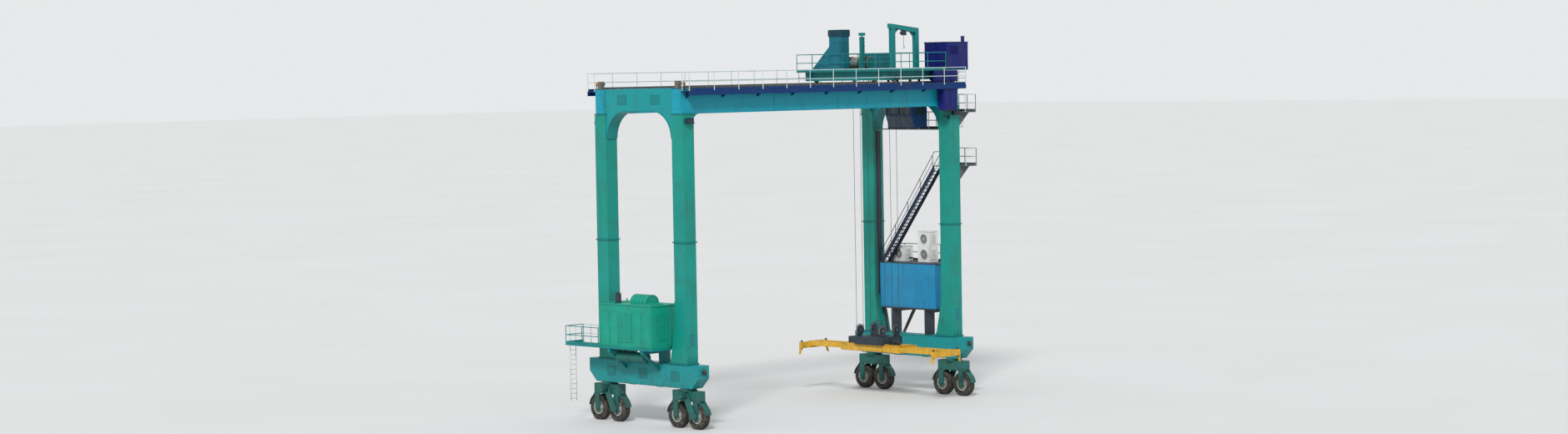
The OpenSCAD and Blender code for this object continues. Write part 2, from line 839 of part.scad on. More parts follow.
// Service gantry with its sloping beam, and the short mast beside the drum.
module service_gantry() {
  x0 = hoist_x - gantry_in;
  y0 = -gantry_y;
  xm = hoist_x - car_x + 400;
  ym = y0 + mast_y;
  color("SeaGreen") {
    block(x0, x0 + gantry_s, y0, y0 + gantry_s, deck_z, deck_z + gantry_h - gantry_s);
    block(x0 + gantry_l, x0 + gantry_l + gantry_s, y0, y0 + gantry_s,
      deck_z, deck_z + gantry_h - 2 * gantry_s);
    along(y0, y0 + gantry_s)
      polygon([
        [x0 - 120, deck_z + gantry_h - gantry_s],
        [x0 + gantry_s, deck_z + gantry_h - gantry_s],
        [x0 + gantry_l, deck_z + gantry_h - 2 * gantry_s],
        [x0 + gantry_l + gantry_s, deck_z + gantry_h - 2 * gantry_s],
        [x0 + gantry_l + gantry_s, deck_z + gantry_h - gantry_s],
        [x0 - 120, deck_z + gantry_h]
      ]);
    tube_z(xm, ym, deck_z, deck_z + mast_h, tube_d * 2);
    block(xm - mast_w / 2, xm + mast_w / 2, ym - mast_w * 0.12, ym + mast_w * 0.12,
      deck_z + mast_h, deck_z + mast_h + tube_d * 4);
  }
}
module trolley_house() {
  x1 = hoist_x + car_x + deck_over;
  color("Navy") {
    block(x1 - thouse_x, x1, -deck_y, -deck_y + thouse_y, deck_z, deck_z + thouse_h);
    tube_z(x1 - 200, -deck_y + 250, deck_z + thouse_h, deck_z + thouse_h + 320, 220);
  }
}

// Operator's cabin: a shell with a raked front and large windows.
module cabin_outline(t) {
  polygon([
    [cabin_rake + t, cabin_z + t],
    [cabin_x - t, cabin_z + t],
    [cabin_x - t, cabin_top - t],
    [t, cabin_top - t],
    [t, cabin_z + 800],
    [cabin_rake + t, cabin_z + t]
  ]);
}
module cabin() {
  y0 = cabin_y0;
  y1 = cabin_y0 + cabin_y;
  color("SteelBlue")
    translate([hoist_x + cabin_off, 0, 0])
      difference() {
        along(y0, y1)
          cabin_outline(0);
        along(y0 + cabin_t, y1 - cabin_t)
          cabin_outline(cabin_t);
        block(-10, cabin_t + 10, y0 + 150, (y0 + y1) / 2 - 50, cabin_z + 850, cabin_top - 250);
        block(-10, cabin_t + 10, (y0 + y1) / 2 + 50, y1 - 150, cabin_z + 850, cabin_top - 250);
        block(350, cabin_x - 250, y0 - 10, y0 + cabin_t + 10, cabin_z + 850, cabin_top - 250);
        block(350, cabin_x - 650, y1 - cabin_t - 10, y1 + 10, cabin_z + 850, cabin_top - 250);
      }
}
module cabin_hangers() {
  color("DarkSlateGray")
    translate([hoist_x, 0, 0])
      for (x = [cross_in, car_x - cross_w])
        for (y = [cabin_y0 + 200, cabin_y0 + cabin_y - 200])
          block(x - hanger_s / 2, x + hanger_s / 2, y - hanger_s / 2, y + hanger_s / 2,
            cabin_top, car_z);
}

// Eight falls of rope between the upper and the lower sheaves.
module hoist_ropes() {
  fall = sheave_r + rope_d / 2 + rail_fit;
  color("Black")
    translate([hoist_x, 0, 0])
      for (s = [-1, 1])
        for (e = [-1, 1])
          for (f = [-1, 1])
            tube_z(e * sheave_x + f * fall, s * sheave_y, low_sheave_z, sheave_z, rope_d);
}

// Head block that carries the lower sheaves.
module head_block() {
  color("DarkSlateGray")
    translate([hoist_x, 0, 0]) {
      block(-head_x, head_x, -head_y, head_y, head_z, head_top);
      for (s = [-1, 1])
        for (e = [-1, 1])
          translate([e * sheave_x, s * sheave_y, low_sheave_z]) {
            rotate([90, 0, 0])
              cylinder(h = sheave_w, r = sheave_r, center = true, $fn = 72);
            for (t = [-1, 1])
              block(-120, 120, t * (sheave_w / 2 + 15) - 15, t * (sheave_w / 2 + 15) + 15,
                head_top - low_sheave_z, 140);
          }
    }
}

// Fixed spreader frame with four through channels for the beams.
module spreader_frame() {
  color("Gold")
    translate([hoist_x, 0, lock_z + 60])
      difference() {
        block(-beam_out - beam_w / 2 - 60, beam_out + beam_w / 2 + 60,
          -frame_l, frame_l, 0, frame_h);
        for (x = [-beam_out, -beam_in, beam_in, beam_out])
          block(x - beam_w / 2 - beam_fit, x + beam_w / 2 + beam_fit, -frame_l - 1, frame_l + 1,
            (frame_h - beam_h) / 2 - beam_seat, (frame_h + beam_h) / 2 + beam_fit);
      }
}

// One telescopic arm: two beams, the end beam, corner pads and locks.
module spreader_arm(sy) {
  ye = lock_l / 2;
  z0 = lock_z + 60 + (frame_h - beam_h) / 2;
  translate([hoist_x, 0, 0])
    rotate([0, 0, sy > 0 ? 180 : 0]) {
      for (x = [-beam_out, beam_in])
        block(x - beam_w / 2, x + beam_w / 2, -ye + end_w / 2, -frame_l + beam_in_l,
          z0, z0 + beam_h);
      block(-lock_w / 2 - corner_s / 2, lock_w / 2 + corner_s / 2,
        -ye - end_w / 2, -ye + end_w / 2, lock_z, lock_z + end_h);
      for (s = [-1, 1])
        translate([s * lock_w / 2, -ye, lock_z - lock_h])
          cylinder(h = lock_h, d = lock_d, $fn = 36);
    }
}
module spreader_arm_near() {
  color("Orange") spreader_arm(-1);
}
module spreader_arm_far() {
  color("Orange") spreader_arm(1);
}

// Bogie with slewing ring, beam, fork plates and axles.
module bogie_at(sx, sy) {
  translate([sx * span / 2, sy * bogie_y, 0]) {
    tube_z(0, 0, ring_z, sill_z - ring_fit, ring_d);
    block(-fork_out, fork_out, -axle_gap / 2 - 250, axle_gap / 2 + 250, beam_z, ring_z);
    for (s = [-1, 1])
      across(s > 0 ? fork_in : -fork_out, s > 0 ? fork_out : -fork_in) {
        for (e = [-1, 1]) {
          translate([e * axle_gap / 2 - fork_r, axle_z])
            square([2 * fork_r, beam_z - axle_z]);
          translate([e * axle_gap / 2, axle_z])
            circle(fork_r, $fn = 60);
        }
      }
    for (e = [-1, 1])
      tube_x(-fork_out - 40, fork_out + 40, e * axle_gap / 2, axle_z, axle_d);
  }
}
module bogie_left_near() {
  color("Olive") bogie_at(-1, -1);
}
module bogie_left_far() {
  color("Olive") bogie_at(-1, 1);
}
module bogie_right_near() {
  color("Olive") bogie_at(1, -1);
}
module bogie_right_far() {
  color("Olive") bogie_at(1, 1);
}

// Wheel with hub, disc, rim and tyre, as one revolved profile.
module wheel_profile() {
  bore = axle_d / 2 + axle_fit;
  translate([bore, -fork_in + hub_fit])
    square([hub_d / 2 - bore, 2 * (fork_in - hub_fit)]);
  translate([hub_d / 2 - 10, -45])
    square([rim_d / 2 - hub_d / 2 + 10, 90]);
  translate([rim_d / 2 - 50, -tyre_w / 2 + 15])
    square([50, tyre_w - 30]);
  translate([rim_d / 2 - 1, -tyre_w / 2 + tyre_r])
    square([tyre_d / 2 - rim_d / 2 + 1, tyre_w - 2 * tyre_r]);
  translate([rim_d / 2 - 1, -tyre_w / 2])
    square([tyre_d / 2 - rim_d / 2 + 1 - tyre_r, tyre_w]);
  for (s = [-1, 1])
    translate([tyre_d / 2 - tyre_r, s * (tyre_w / 2 - tyre_r)])
      circle(tyre_r, $fn = 40);
}
module wheel_at(sx, sy, e) {
  translate([sx * span / 2, sy * bogie_y + e * axle_gap / 2, axle_z])
    rotate([0, 90, 0])
      rotate_extrude($fn = 120)
        wheel_profile();
}
module wheel_left_near_a() {
  color("Black") wheel_at(-1, -1, -1);
}
module wheel_left_near_b() {
  color("Black") wheel_at(-1, -1, 1);
}
module wheel_left_far_a() {
  color("Black") wheel_at(-1, 1, -1);
}
module wheel_left_far_b() {
  color("Black") wheel_at(-1, 1, 1);
}
module wheel_right_near_a() {
  color("Black") wheel_at(1, -1, -1);
}
module wheel_right_near_b() {
  color("Black") wheel_at(1, -1, 1);
}
module wheel_right_far_a() {
  color("Black") wheel_at(1, 1, -1);
}
module wheel_right_far_b() {
  color("Black") wheel_at(1, 1, 1);
}

leg_left_near();
leg_left_far();
leg_right_near();
leg_right_far();
portal_left();
portal_right();
sill_left();
sill_right();
girder_near();
girder_far();
trolley_rails();
walkway_near();
walkway_far();
power_house();
power_platform();
electrical_house();
electrical_platform();
air_conditioners();
stair();
landings();
boarding_landing();
ladders();
floodlights();
trolley_frame();
trolley_wheels();
trolley_deck();
hoist_drum();
machine_box();
service_gantry();
trolley_house();
cabin();
cabin_hangers();
hoist_ropes();
head_block();
spreader_frame();
spreader_arm_near();
spreader_arm_far();
bogie_left_near();
bogie_left_far();
bogie_right_near();
bogie_right_far();
wheel_left_near_a();
wheel_left_near_b();
wheel_left_far_a();
wheel_left_far_b();
wheel_right_near_a();
wheel_right_near_b();
wheel_right_far_a();
wheel_right_far_b();
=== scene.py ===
"""Looks of the rubber tyred gantry crane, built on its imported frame.

X runs across the lane, Y along the lane, Z up, in metres. The left frame carries the power
house, the right frame the electrical house, and the trolley rests near the right frame.
"""

import logging
import math
from contextlib import contextmanager
from dataclasses import dataclass, field
from enum import Enum
from typing import Callable, Iterable, Iterator, Optional, Sequence

import bpy
from mathutils import Matrix, Quaternion, Vector


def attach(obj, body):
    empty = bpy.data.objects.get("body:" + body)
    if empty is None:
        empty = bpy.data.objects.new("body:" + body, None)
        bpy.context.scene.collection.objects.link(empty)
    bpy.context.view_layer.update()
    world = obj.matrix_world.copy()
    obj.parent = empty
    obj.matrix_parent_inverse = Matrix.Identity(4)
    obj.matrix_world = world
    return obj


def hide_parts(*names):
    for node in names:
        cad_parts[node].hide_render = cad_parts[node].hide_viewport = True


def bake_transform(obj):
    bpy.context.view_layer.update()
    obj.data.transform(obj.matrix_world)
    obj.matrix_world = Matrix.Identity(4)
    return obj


LOG = logging.getLogger("gantry_crane")
Point = Sequence[float]
Colour = tuple[float, float, float, float]
Obj = bpy.types.Object
Material = bpy.types.Material
Tree = bpy.types.NodeTree
Node = bpy.types.Node
Socket = bpy.types.NodeSocket


class Axis(Enum):
    """The three axes, as unit vectors."""

    X = (1.0, 0.0, 0.0)
    Y = (0.0, 1.0, 0.0)
    Z = (0.0, 0.0, 1.0)


# Modelling tools.

def put_down() -> None:
    """Leaves edit mode and deselects everything."""
    if bpy.context.object and bpy.context.object.mode != "OBJECT":
        bpy.ops.object.mode_set(mode="OBJECT")
    bpy.ops.object.select_all(action="DESELECT")


def take(obj: Obj) -> None:
    """Makes one object the only selected and active one.

    Args:
        obj: The object to work on.
    """
    put_down()
    obj.select_set(True)
    bpy.context.view_layer.objects.active = obj


@contextmanager
def shaping(obj: Obj, mode: str = "FACE") -> Iterator[None]:
    """Edit mode on one object, left again afterwards.

    Args:
        obj: The object to shape.
        mode: VERT, EDGE or FACE selection.
    """
    take(obj)
    bpy.ops.object.mode_set(mode="EDIT")
    bpy.ops.mesh.select_mode(type=mode)
    yield
    bpy.ops.object.mode_set(mode="OBJECT")


def pick_faces(obj: Obj, facing: Point, limit: float = 0.9) -> None:
    """Selects the faces that look in one direction.

    Args:
        obj: The object whose faces are picked.
        facing: The direction, as a unit vector.
        limit: Least cosine between face normal and direction.
    """
    mesh = obj.data
    mesh.vertices.foreach_set("select", [False] * len(mesh.vertices))
    mesh.edges.foreach_set("select", [False] * len(mesh.edges))
    way = Vector(facing)
    for face in mesh.polygons:
        face.select = face.normal.dot(way) > limit


def placed(obj: Obj) -> Obj:
    """Applies an object's place, turn and scale to its mesh.

    Args:
        obj: The object.

    Returns:
        The same object, at the origin.
    """
    take(obj)
    bpy.ops.object.transform_apply(location=True, rotation=True, scale=True)
    return obj


def corners(low: Point, high: Point) -> tuple[Vector, Vector]:
    """The lowest and the highest corner of a box from any two opposite ones.

    Args:
        low: One corner.
        high: The opposite corner.

    Returns:
        The two corners.
    """
    pairs = list(zip(low, high))
    return Vector([min(pair) for pair in pairs]), Vector([max(pair) for pair in pairs])


def block(low: Point, high: Point, edge: float = 0.012, rounds: int = 1) -> Obj:
    """A box between two corners with its edges taken off.

    Args:
        low: One corner.
        high: The opposite corner.
        edge: Width of the chamfers.
        rounds: Segments of the chamfers.

    Returns:
        The new object.
    """
    low, high = corners(low, high)
    put_down()
    bpy.ops.mesh.primitive_cube_add(size=1.0, location=(low + high) / 2, scale=high - low)
    obj = placed(bpy.context.object)
    edge = min(edge, min(high - low) * 0.35)
    with shaping(obj, "EDGE"):
        bpy.ops.mesh.select_all(action="SELECT")
        bpy.ops.mesh.bevel(offset=edge, segments=rounds, affect="EDGES")
    return obj


def panel(low: Point, high: Point, facing: Point, border: float = 0.06,
          recess: float = 0.02, edge: float = 0.01) -> Obj:
    """A block whose face in one direction is framed and set back.

    Args:
        low: One corner.
        high: The opposite corner.
        facing: Direction of the framed face.
        border: Width of the frame.
        recess: Depth of the field inside the frame.
        edge: Width of the chamfers.

    Returns:
        The new object.
    """
    obj = block(low, high, edge)
    pick_faces(obj, facing, 0.99)
    with shaping(obj):
        bpy.ops.mesh.inset(thickness=border, depth=0.0)
        bpy.ops.mesh.inset(thickness=recess * 0.5, depth=-recess)
    return obj


def rod(start: Point, end: Point, radius: float, sides: int = 12,
        edge: float = 0.0) -> Obj:
    """A round bar between two points.

    Args:
        start: Centre of one end.
        end: Centre of the other end.
        radius: Radius of the bar.
        sides: Number of sides.
        edge: Width of the chamfer round both ends.

    Returns:
        The new object.
    """
    start, end = Vector(start), Vector(end)
    way = end - start
    put_down()
    bpy.ops.mesh.primitive_cylinder_add(
        vertices=sides, radius=radius, depth=way.length, location=(start + end) / 2,
        rotation=way.to_track_quat("Z", "Y").to_euler())
    obj = placed(bpy.context.object)
    way.normalize()
    if edge > 0.0:
        for face in obj.data.polygons:
            face.select = abs(face.normal.dot(way)) > 0.9
        with shaping(obj):
            bpy.ops.mesh.bevel(offset=edge, segments=1, affect="EDGES")
    return obj


def prism(points: Sequence[Point], axis: Axis, start: float, end: float,
          edge: float = 0.0) -> Obj:
    """A flat outline extruded along an axis.

    Args:
        points: Corners in the plane: (y, z) for X, (x, z) for Y, (x, y) for Z.
        axis: Direction of the extrusion.
        start: Where it starts on the axis.
        end: Where it ends on the axis.
        edge: Width of the chamfers of all edges.

    Returns:
        The new object.
    """
    put_down()
    bpy.ops.mesh.primitive_circle_add(vertices=len(points), fill_type="NGON")
    obj = bpy.context.object
    for vertex, (a, b) in zip(obj.data.vertices, points):
        vertex.co = {Axis.X: (start, a, b), Axis.Y: (a, start, b), Axis.Z: (a, b, start)}[axis]
    with shaping(obj):
        bpy.ops.mesh.select_all(action="SELECT")
        bpy.ops.mesh.extrude_region_move(
            TRANSFORM_OT_translate={"value": Vector(axis.value) * (end - start)})
        bpy.ops.mesh.select_all(action="SELECT")
        bpy.ops.mesh.normals_make_consistent(inside=False)
    if edge > 0.0:
        with shaping(obj, "EDGE"):
            bpy.ops.mesh.select_all(action="SELECT")
            bpy.ops.mesh.bevel(offset=edge, segments=1, affect="EDGES")
    return obj


def turned(profile: Sequence[Point], centre: Point, axis: Axis,
           steps: int = 48) -> Obj:
    """A closed profile turned round an axis, as on a lathe.

    Args:
        profile: Corners as (radius, place along the axis).
        centre: A point on the axis.
        axis: The axis.
        steps: Number of steps round.

    Returns:
        The new object.
    """
    put_down()
    bpy.ops.mesh.primitive_circle_add(vertices=len(profile), fill_type="NOTHING")
    obj = bpy.context.object
    for vertex, (radius, along) in zip(obj.data.vertices, profile):
        vertex.co = {Axis.X: (along, radius, 0.0), Axis.Y: (0.0, along, radius),
                     Axis.Z: (radius, 0.0, along)}[axis]
    take(obj)
    bpy.ops.object.modifier_add(type="SCREW")
    lathe = obj.modifiers[-1]
    lathe.axis = axis.name
    lathe.steps = lathe.render_steps = steps
    lathe.use_merge_vertices = True
    lathe.use_smooth_shade = False
    bpy.ops.object.modifier_apply(modifier=lathe.name)
    with shaping(obj):
        bpy.ops.mesh.select_all(action="SELECT")
        bpy.ops.mesh.remove_doubles(threshold=0.0001)
        bpy.ops.mesh.normals_make_consistent(inside=False)
    obj.location = centre
    return placed(obj)


def path_tube(points: Sequence[Point], radius: float, sides: int = 3) -> Obj:
    """A bent tube along a row of points, made a mesh.

    Args:
        points: The points that it follows.
        radius: Radius of the tube.
        sides: Bevel resolution of its section.

    Returns:
        The new object.
    """
    put_down()
    bpy.ops.curve.primitive_nurbs_path_add()
    obj = bpy.context.object
    curve = obj.data
    curve.splines.clear()
    line = curve.splines.new("POLY")
    line.points.add(len(points) - 1)
    for spot, place in zip(line.points, points):
        spot.co = (*place, 1.0)
    curve.dimensions = "3D"
    curve.bevel_depth = radius
    curve.bevel_resolution = sides
    curve.use_fill_caps = True
    take(obj)
    bpy.ops.object.convert(target="MESH")
    return placed(bpy.context.object)


def copied(obj: Obj, matrix: Matrix) -> Obj:
    """A copy of a piece with its own mesh, moved, turned or mirrored.

    Args:
        obj: The piece to copy.
        matrix: What is done to the copy's mesh.

    Returns:
        The copy.
    """
    twin = obj.copy()
    twin.data = obj.data.copy()
    twin.data.transform(matrix)
    if matrix.determinant() < 0:
        twin.data.flip_normals()
    bpy.context.scene.collection.objects.link(twin)
    return twin


def spread(obj: Obj, moves: Iterable[Point]) -> list[Obj]:
    """Copies of a piece at other places.

    Args:
        obj: The piece to copy.
        moves: How far each copy is moved.

    Returns:
        The piece and its copies.
    """
    return [obj] + [copied(obj, Matrix.Translation(Vector(move))) for move in moves]


def joined(parts: Sequence[Obj], name: str) -> Obj:
    """Joins parts into one named piece.

    Args:
        parts: The parts.
        name: Name of the piece.

    Returns:
        The piece.
    """
    take(parts[0])
    for part in parts[1:]:
        part.select_set(True)
    if len(parts) > 1:
        bpy.ops.object.join()
    obj = bpy.context.view_layer.objects.active
    obj.name = name
    obj.data.name = name
    return obj


def bolts(places: Sequence[Point], facing: Point, size: float = 0.024) -> list[Obj]:
    """Hexagon bolt heads at a row of places.

    Args:
        places: Where their feet stand.
        facing: The way they point.
        size: Radius of a head.

    Returns:
        The bolt heads.
    """
    way = Vector(facing)
    first = Vector(places[0])
    head = rod(first - way * 0.004, first + way * size * 0.75, size, 6, size * 0.15)
    return spread(head, [Vector(place) - first for place in places[1:]])


def rim(x0: float, x1: float, y0: float, y1: float, gap: float) -> list[tuple[float, float]]:
    """Places round a rectangle.

    Args:
        x0: Low x.
        x1: High x.
        y0: Low y.
        y1: High y.
        gap: About how far they stand apart.

    Returns:
        The places, as (x, y).
    """
    made = []
    nx, ny = max(1, round((x1 - x0) / gap)), max(1, round((y1 - y0) / gap))
    for i in range(nx):
        made += [(x0 + (x1 - x0) * i / nx, y0), (x1 - (x1 - x0) * i / nx, y1)]
    for i in range(ny):
        made += [(x1, y0 + (y1 - y0) * i / ny), (x0, y1 - (y1 - y0) * i / ny)]
    return made


def railing(points: Sequence[Point], posts: int, height: float = 1.1,
            radius: float = 0.024) -> list[Obj]:
    """A handrail over a line of two points, with posts, knee rail and foot plates.

    Args:
        points: The two ends, at floor level.
        posts: Number of posts.
        height: Height of the handrail.
        radius: Radius of the tubes.

    Returns:
        The parts.
    """
    start, end = Vector(points[0]), Vector(points[1])
    lift = Vector((0, 0, height))
    made = [rod(start + lift, end + lift, radius),
            rod(start + lift / 2, end + lift / 2, radius * 0.8)]
    for i in range(posts):
        foot = start.lerp(end, i / (posts - 1))
        made.append(rod(foot, foot + lift, radius))
        plate = Vector((0.06, 0.06, 0.0))
        made.append(block(foot - plate, foot + plate + Vector((0, 0, 0.015)), 0.004))
    return made


# Materials.

def srgb(red: float, green: float, blue: float) -> Colour:
    """A colour from its values on screen.

    Args:
        red: Red, 0 to 255.
        green: Green, 0 to 255.
        blue: Blue, 0 to 255.

    Returns:
        The linear colour.
    """
    def linear(value: float) -> float:
        """One channel, made linear."""
        value /= 255.0
        return value / 12.92 if value <= 0.04045 else ((value + 0.055) / 1.055) ** 2.4
    return (linear(red), linear(green), linear(blue), 1.0)


class Wiring:
    """Adds and links the nodes of one node tree."""

    def __init__(self, tree: Tree) -> None:
        """Starts on a tree.

        Args:
            tree: The tree to fill.
        """
        self.tree = tree

    def add(self, kind: str, **settings: object) -> Node:
        """Adds a node.

        Args:
            kind: Its type.
            settings: Its properties.

        Returns:
            The node.
        """
        node = self.tree.nodes.new(kind)
        for key, value in settings.items():
            setattr(node, key, value)
        return node

    def feed(self, socket: Socket, value: object) -> None:
        """Links a socket into another, or sets a constant on it.

        Args:
            socket: The socket that is fed.
            value: The other socket, or the constant.
        """
        if isinstance(value, Socket):
            self.tree.links.new(value, socket)
        else:
            socket.default_value = value

    def maths(self, operation: str, a: object, b: object = 0.0) -> Socket:
        """One step of arithmetic.

        Args:
            operation: Its name.
            a: First value or socket.
            b: Second value or socket.

        Returns:
            The result.
        """
        node = self.add("ShaderNodeMath", operation=operation)
        self.feed(node.inputs[0], a)
        self.feed(node.inputs[1], b)
        return node.outputs[0]

    def times(self, a: object, b: object) -> Socket:
        """The product of two values or sockets."""
        return self.maths("MULTIPLY", a, b)

    def most(self, a: object, b: object) -> Socket:
        """The larger of two values or sockets."""
        return self.maths("MAXIMUM", a, b)

    def remap(self, value: object, low: float, high: float, to_low: float = 0.0,
              to_high: float = 1.0) -> Socket:
        """Spreads a range of values smoothly over another one.

        Args:
            value: The value.
            low: Where the range starts.
            high: Where it ends.
            to_low: What the start becomes.
            to_high: What the end becomes.

        Returns:
            The result.
        """
        node = self.add("ShaderNodeMapRange", interpolation_type="SMOOTHSTEP")
        for socket, given in zip(node.inputs, (value, low, high, to_low, to_high)):
            self.feed(socket, given)
        return node.outputs[0]

    def noise(self, scale: object, stretch: Point = (1, 1, 1), detail: float = 4.0,
              rough: float = 0.55) -> Socket:
        """Noise on the Object coordinates.

        Args:
            scale: Its scale.
            stretch: Scale of the coordinates along X, Y and Z.
            detail: Its detail.
            rough: Its roughness.

        Returns:
            The value.
        """
        place = self.add("ShaderNodeTexCoord")
        map_node = self.add("ShaderNodeMapping")
        map_node.inputs["Scale"].default_value = stretch
        self.feed(map_node.inputs["Vector"], place.outputs["Object"])
        node = self.add("ShaderNodeTexNoise")
        self.feed(node.inputs["Vector"], map_node.outputs[0])
        self.feed(node.inputs["Scale"], scale)
        node.inputs["Detail"].default_value = detail
        node.inputs["Roughness"].default_value = rough
        return node.outputs[0]

    def mix(self, factor: object, a: object, b: object) -> Socket:
        """Mixes two colours.

        Args:
            factor: How much of the second.
            a: First colour.
            b: Second colour.

        Returns:
            The mixed colour.
        """
        node = self.add("ShaderNodeMix", data_type="RGBA")
        self.feed(node.inputs[0], factor)
        self.feed(node.inputs[6], a)
        self.feed(node.inputs[7], b)
        return node.outputs[2]

    def part(self, axis: Axis, kind: str = "Object") -> Socket:
        """One of the Object coordinates, or of the normal.

        Args:
            axis: Which one.
            kind: Object or Normal.

        Returns:
            Its value.
        """
        place = self.add("ShaderNodeTexCoord")
        split = self.add("ShaderNodeSeparateXYZ")
        self.feed(split.inputs[0], place.outputs[kind])
        return split.outputs[axis.name]


def new_group(name: str, takes: Sequence[tuple[str, str, object]],
              gives: Sequence[tuple[str, str]]) -> tuple[Wiring, dict, Node]:
    """Starts a shader node group.

    Args:
        name: Its name.
        takes: Inputs as (name, Color or Float, default).
        gives: Outputs as (name, Color or Float).

    Returns:
        Its wiring, its inputs by name, and its output node.
    """
    tree = bpy.data.node_groups.new(name, "ShaderNodeTree")
    for label, kind, value in takes:
        socket = tree.interface.new_socket(name=label, in_out="INPUT",
                                           socket_type="NodeSocket" + kind)
        socket.default_value = value
    for label, kind in gives:
        tree.interface.new_socket(name=label, in_out="OUTPUT", socket_type="NodeSocket" + kind)
    wiring = Wiring(tree)
    entry = wiring.add("NodeGroupInput")
    leave = wiring.add("NodeGroupOutput")
    return wiring, {socket.name: socket for socket in entry.outputs}, leave


def weathered_coat() -> Tree:
    """Paint that has faded, with rain streaks, grime, chips and dust near the ground.

    Returns:
        The node group.
    """
    w, given, leave = new_group("weathered_coat", [
        ("Paint", "Color", (0.1, 0.4, 0.3, 1)), ("Faded", "Color", (0.3, 0.5, 0.4, 1)),
        ("Dirt", "Color", (0.1, 0.09, 0.08, 1)), ("Rust", "Color", (0.2, 0.08, 0.03, 1)),
        ("Fade", "Float", 0.5), ("Streaks", "Float", 0.4), ("Grime", "Float", 0.3),
        ("Chips", "Float", 0.5), ("Rough", "Float", 0.45),
    ], [("Color", "Color"), ("Roughness", "Float"), ("Height", "Float")])
    clouds = w.remap(w.noise(0.42, detail=5.0), 0.35, 0.68)
    patches = w.remap(w.noise(2.3, detail=6.0), 0.45, 0.7)
    streaks = w.remap(w.noise(2.6, (1.6, 1.6, 0.12), 6.0, 0.62), 0.52, 0.74)
    fine_runs = w.remap(w.noise(9.0, (1.4, 1.4, 0.09), 4.0, 0.6), 0.55, 0.72)
    grime = w.remap(w.noise(1.1, detail=8.0, rough=0.65), 0.47, 0.72)
    chips = w.remap(w.noise(17.0, detail=7.0, rough=0.6), 0.655, 0.685)
    near = w.remap(w.noise(0.9, detail=3.0), 0.5, 0.62)
    low = w.times(w.remap(w.part(Axis.Z), 0.2, 5.5, 0.75, 0.0),
                  w.remap(w.noise(3.1, detail=6.0), 0.3, 0.62))
    fade = w.times(w.most(clouds, w.times(patches, 0.6)),
                   given["Fade"])
    run = w.times(w.most(streaks, w.times(fine_runs, 0.7)),
                  given["Streaks"])
    soil = w.most(w.times(grime, given["Grime"]), low)
    chip = w.times(w.times(chips, near), given["Chips"])
    colour = w.mix(fade, given["Paint"], given["Faded"])
    colour = w.mix(run, colour, given["Dirt"])
    colour = w.mix(w.times(soil, 0.8), colour, given["Dirt"])
    colour = w.mix(chip, colour, given["Rust"])
    rough = w.maths("ADD", given["Rough"], w.times(w.maths("ADD", fade, soil), 0.22))
    height = w.maths("ADD", w.times(w.noise(55.0, detail=3.0), 0.25),
                     w.times(w.noise(6.0, detail=3.0), 0.45))
    height = w.maths("SUBTRACT", height, w.times(chip, 0.5))
    w.feed(leave.inputs["Color"], colour)
    w.feed(leave.inputs["Roughness"], w.maths("MINIMUM", rough, 0.95))
    w.feed(leave.inputs["Height"], height)
    return w.tree


def weld_seams() -> Tree:
    """Narrow seams at even distances along one coordinate.

    Returns:
        The node group.
    """
    w, given, leave = new_group("weld_seams", [
        ("Place", "Float", 0.0), ("Distance", "Float", 2.4), ("Width", "Float", 0.012),
    ], [("Seam", "Float")])
    far = w.maths("PINGPONG", given["Place"], w.times(given["Distance"], 0.5))
    seam = w.maths("SUBTRACT", 1.0, w.maths("DIVIDE", far, given["Width"]))
    w.feed(leave.inputs["Seam"], w.most(seam, 0.0))
    return w.tree


def grit() -> Tree:
    """Dust and fine scratches for metal, rubber and glass.

    Returns:
        The node group.
    """
    w, given, leave = new_group("grit", [
        ("Base", "Color", (0.05, 0.05, 0.05, 1)), ("Dust", "Color", (0.3, 0.27, 0.23, 1)),
        ("Amount", "Float", 0.4), ("Scale", "Float", 6.0), ("Rough", "Float", 0.5),
    ], [("Color", "Color"), ("Roughness", "Float"), ("Height", "Float")])
    cloud = w.remap(w.noise(given["Scale"], detail=7.0, rough=0.65), 0.4, 0.7)
    fine = w.noise(90.0, detail=2.0)
    dust = w.times(w.times(cloud, w.remap(fine, 0.3, 0.6, 0.6, 1.0)),
                   given["Amount"])
    w.feed(leave.inputs["Color"], w.mix(dust, given["Base"], given["Dust"]))
    w.feed(leave.inputs["Roughness"],
           w.maths("MINIMUM", w.maths("ADD", given["Rough"], w.times(dust, 0.4)), 0.97))
    w.feed(leave.inputs["Height"], w.maths("ADD", w.times(fine, 0.4), cloud))
    return w.tree


def bar_grating() -> Tree:
    """Open bar grating seen from above, as a mask and a height.

    Returns:
        The node group.
    """
    w, given, leave = new_group("bar_grating", [("Pitch", "Float", 0.05)],
                                [("Bars", "Float"), ("Height", "Float")])
    long_way = w.maths("PINGPONG", w.part(Axis.Y), w.times(given["Pitch"], 0.5))
    cross = w.maths("PINGPONG", w.part(Axis.X), given["Pitch"])
    a = w.remap(long_way, 0.006, 0.011, 1.0, 0.0)
    b = w.remap(cross, 0.008, 0.014, 1.0, 0.0)
    bars = w.most(a, b)
    w.feed(leave.inputs["Bars"], bars)
    w.feed(leave.inputs["Height"], bars)
    return w.tree


GROUPS: dict[str, Tree] = {}


def group_in(w: Wiring, make: Callable[[], Tree], **values: object) -> Node:
    """Places one of the shared groups in a material.

    Args:
        w: Wiring of the material.
        make: What builds the group, the first time.
        values: Values or sockets for its inputs.

    Returns:
        The group node.
    """
    if make.__name__ not in GROUPS:
        GROUPS[make.__name__] = make()
    node = w.add("ShaderNodeGroup", node_tree=GROUPS[make.__name__])
    for key, value in values.items():
        w.feed(node.inputs[key], value)
    return node


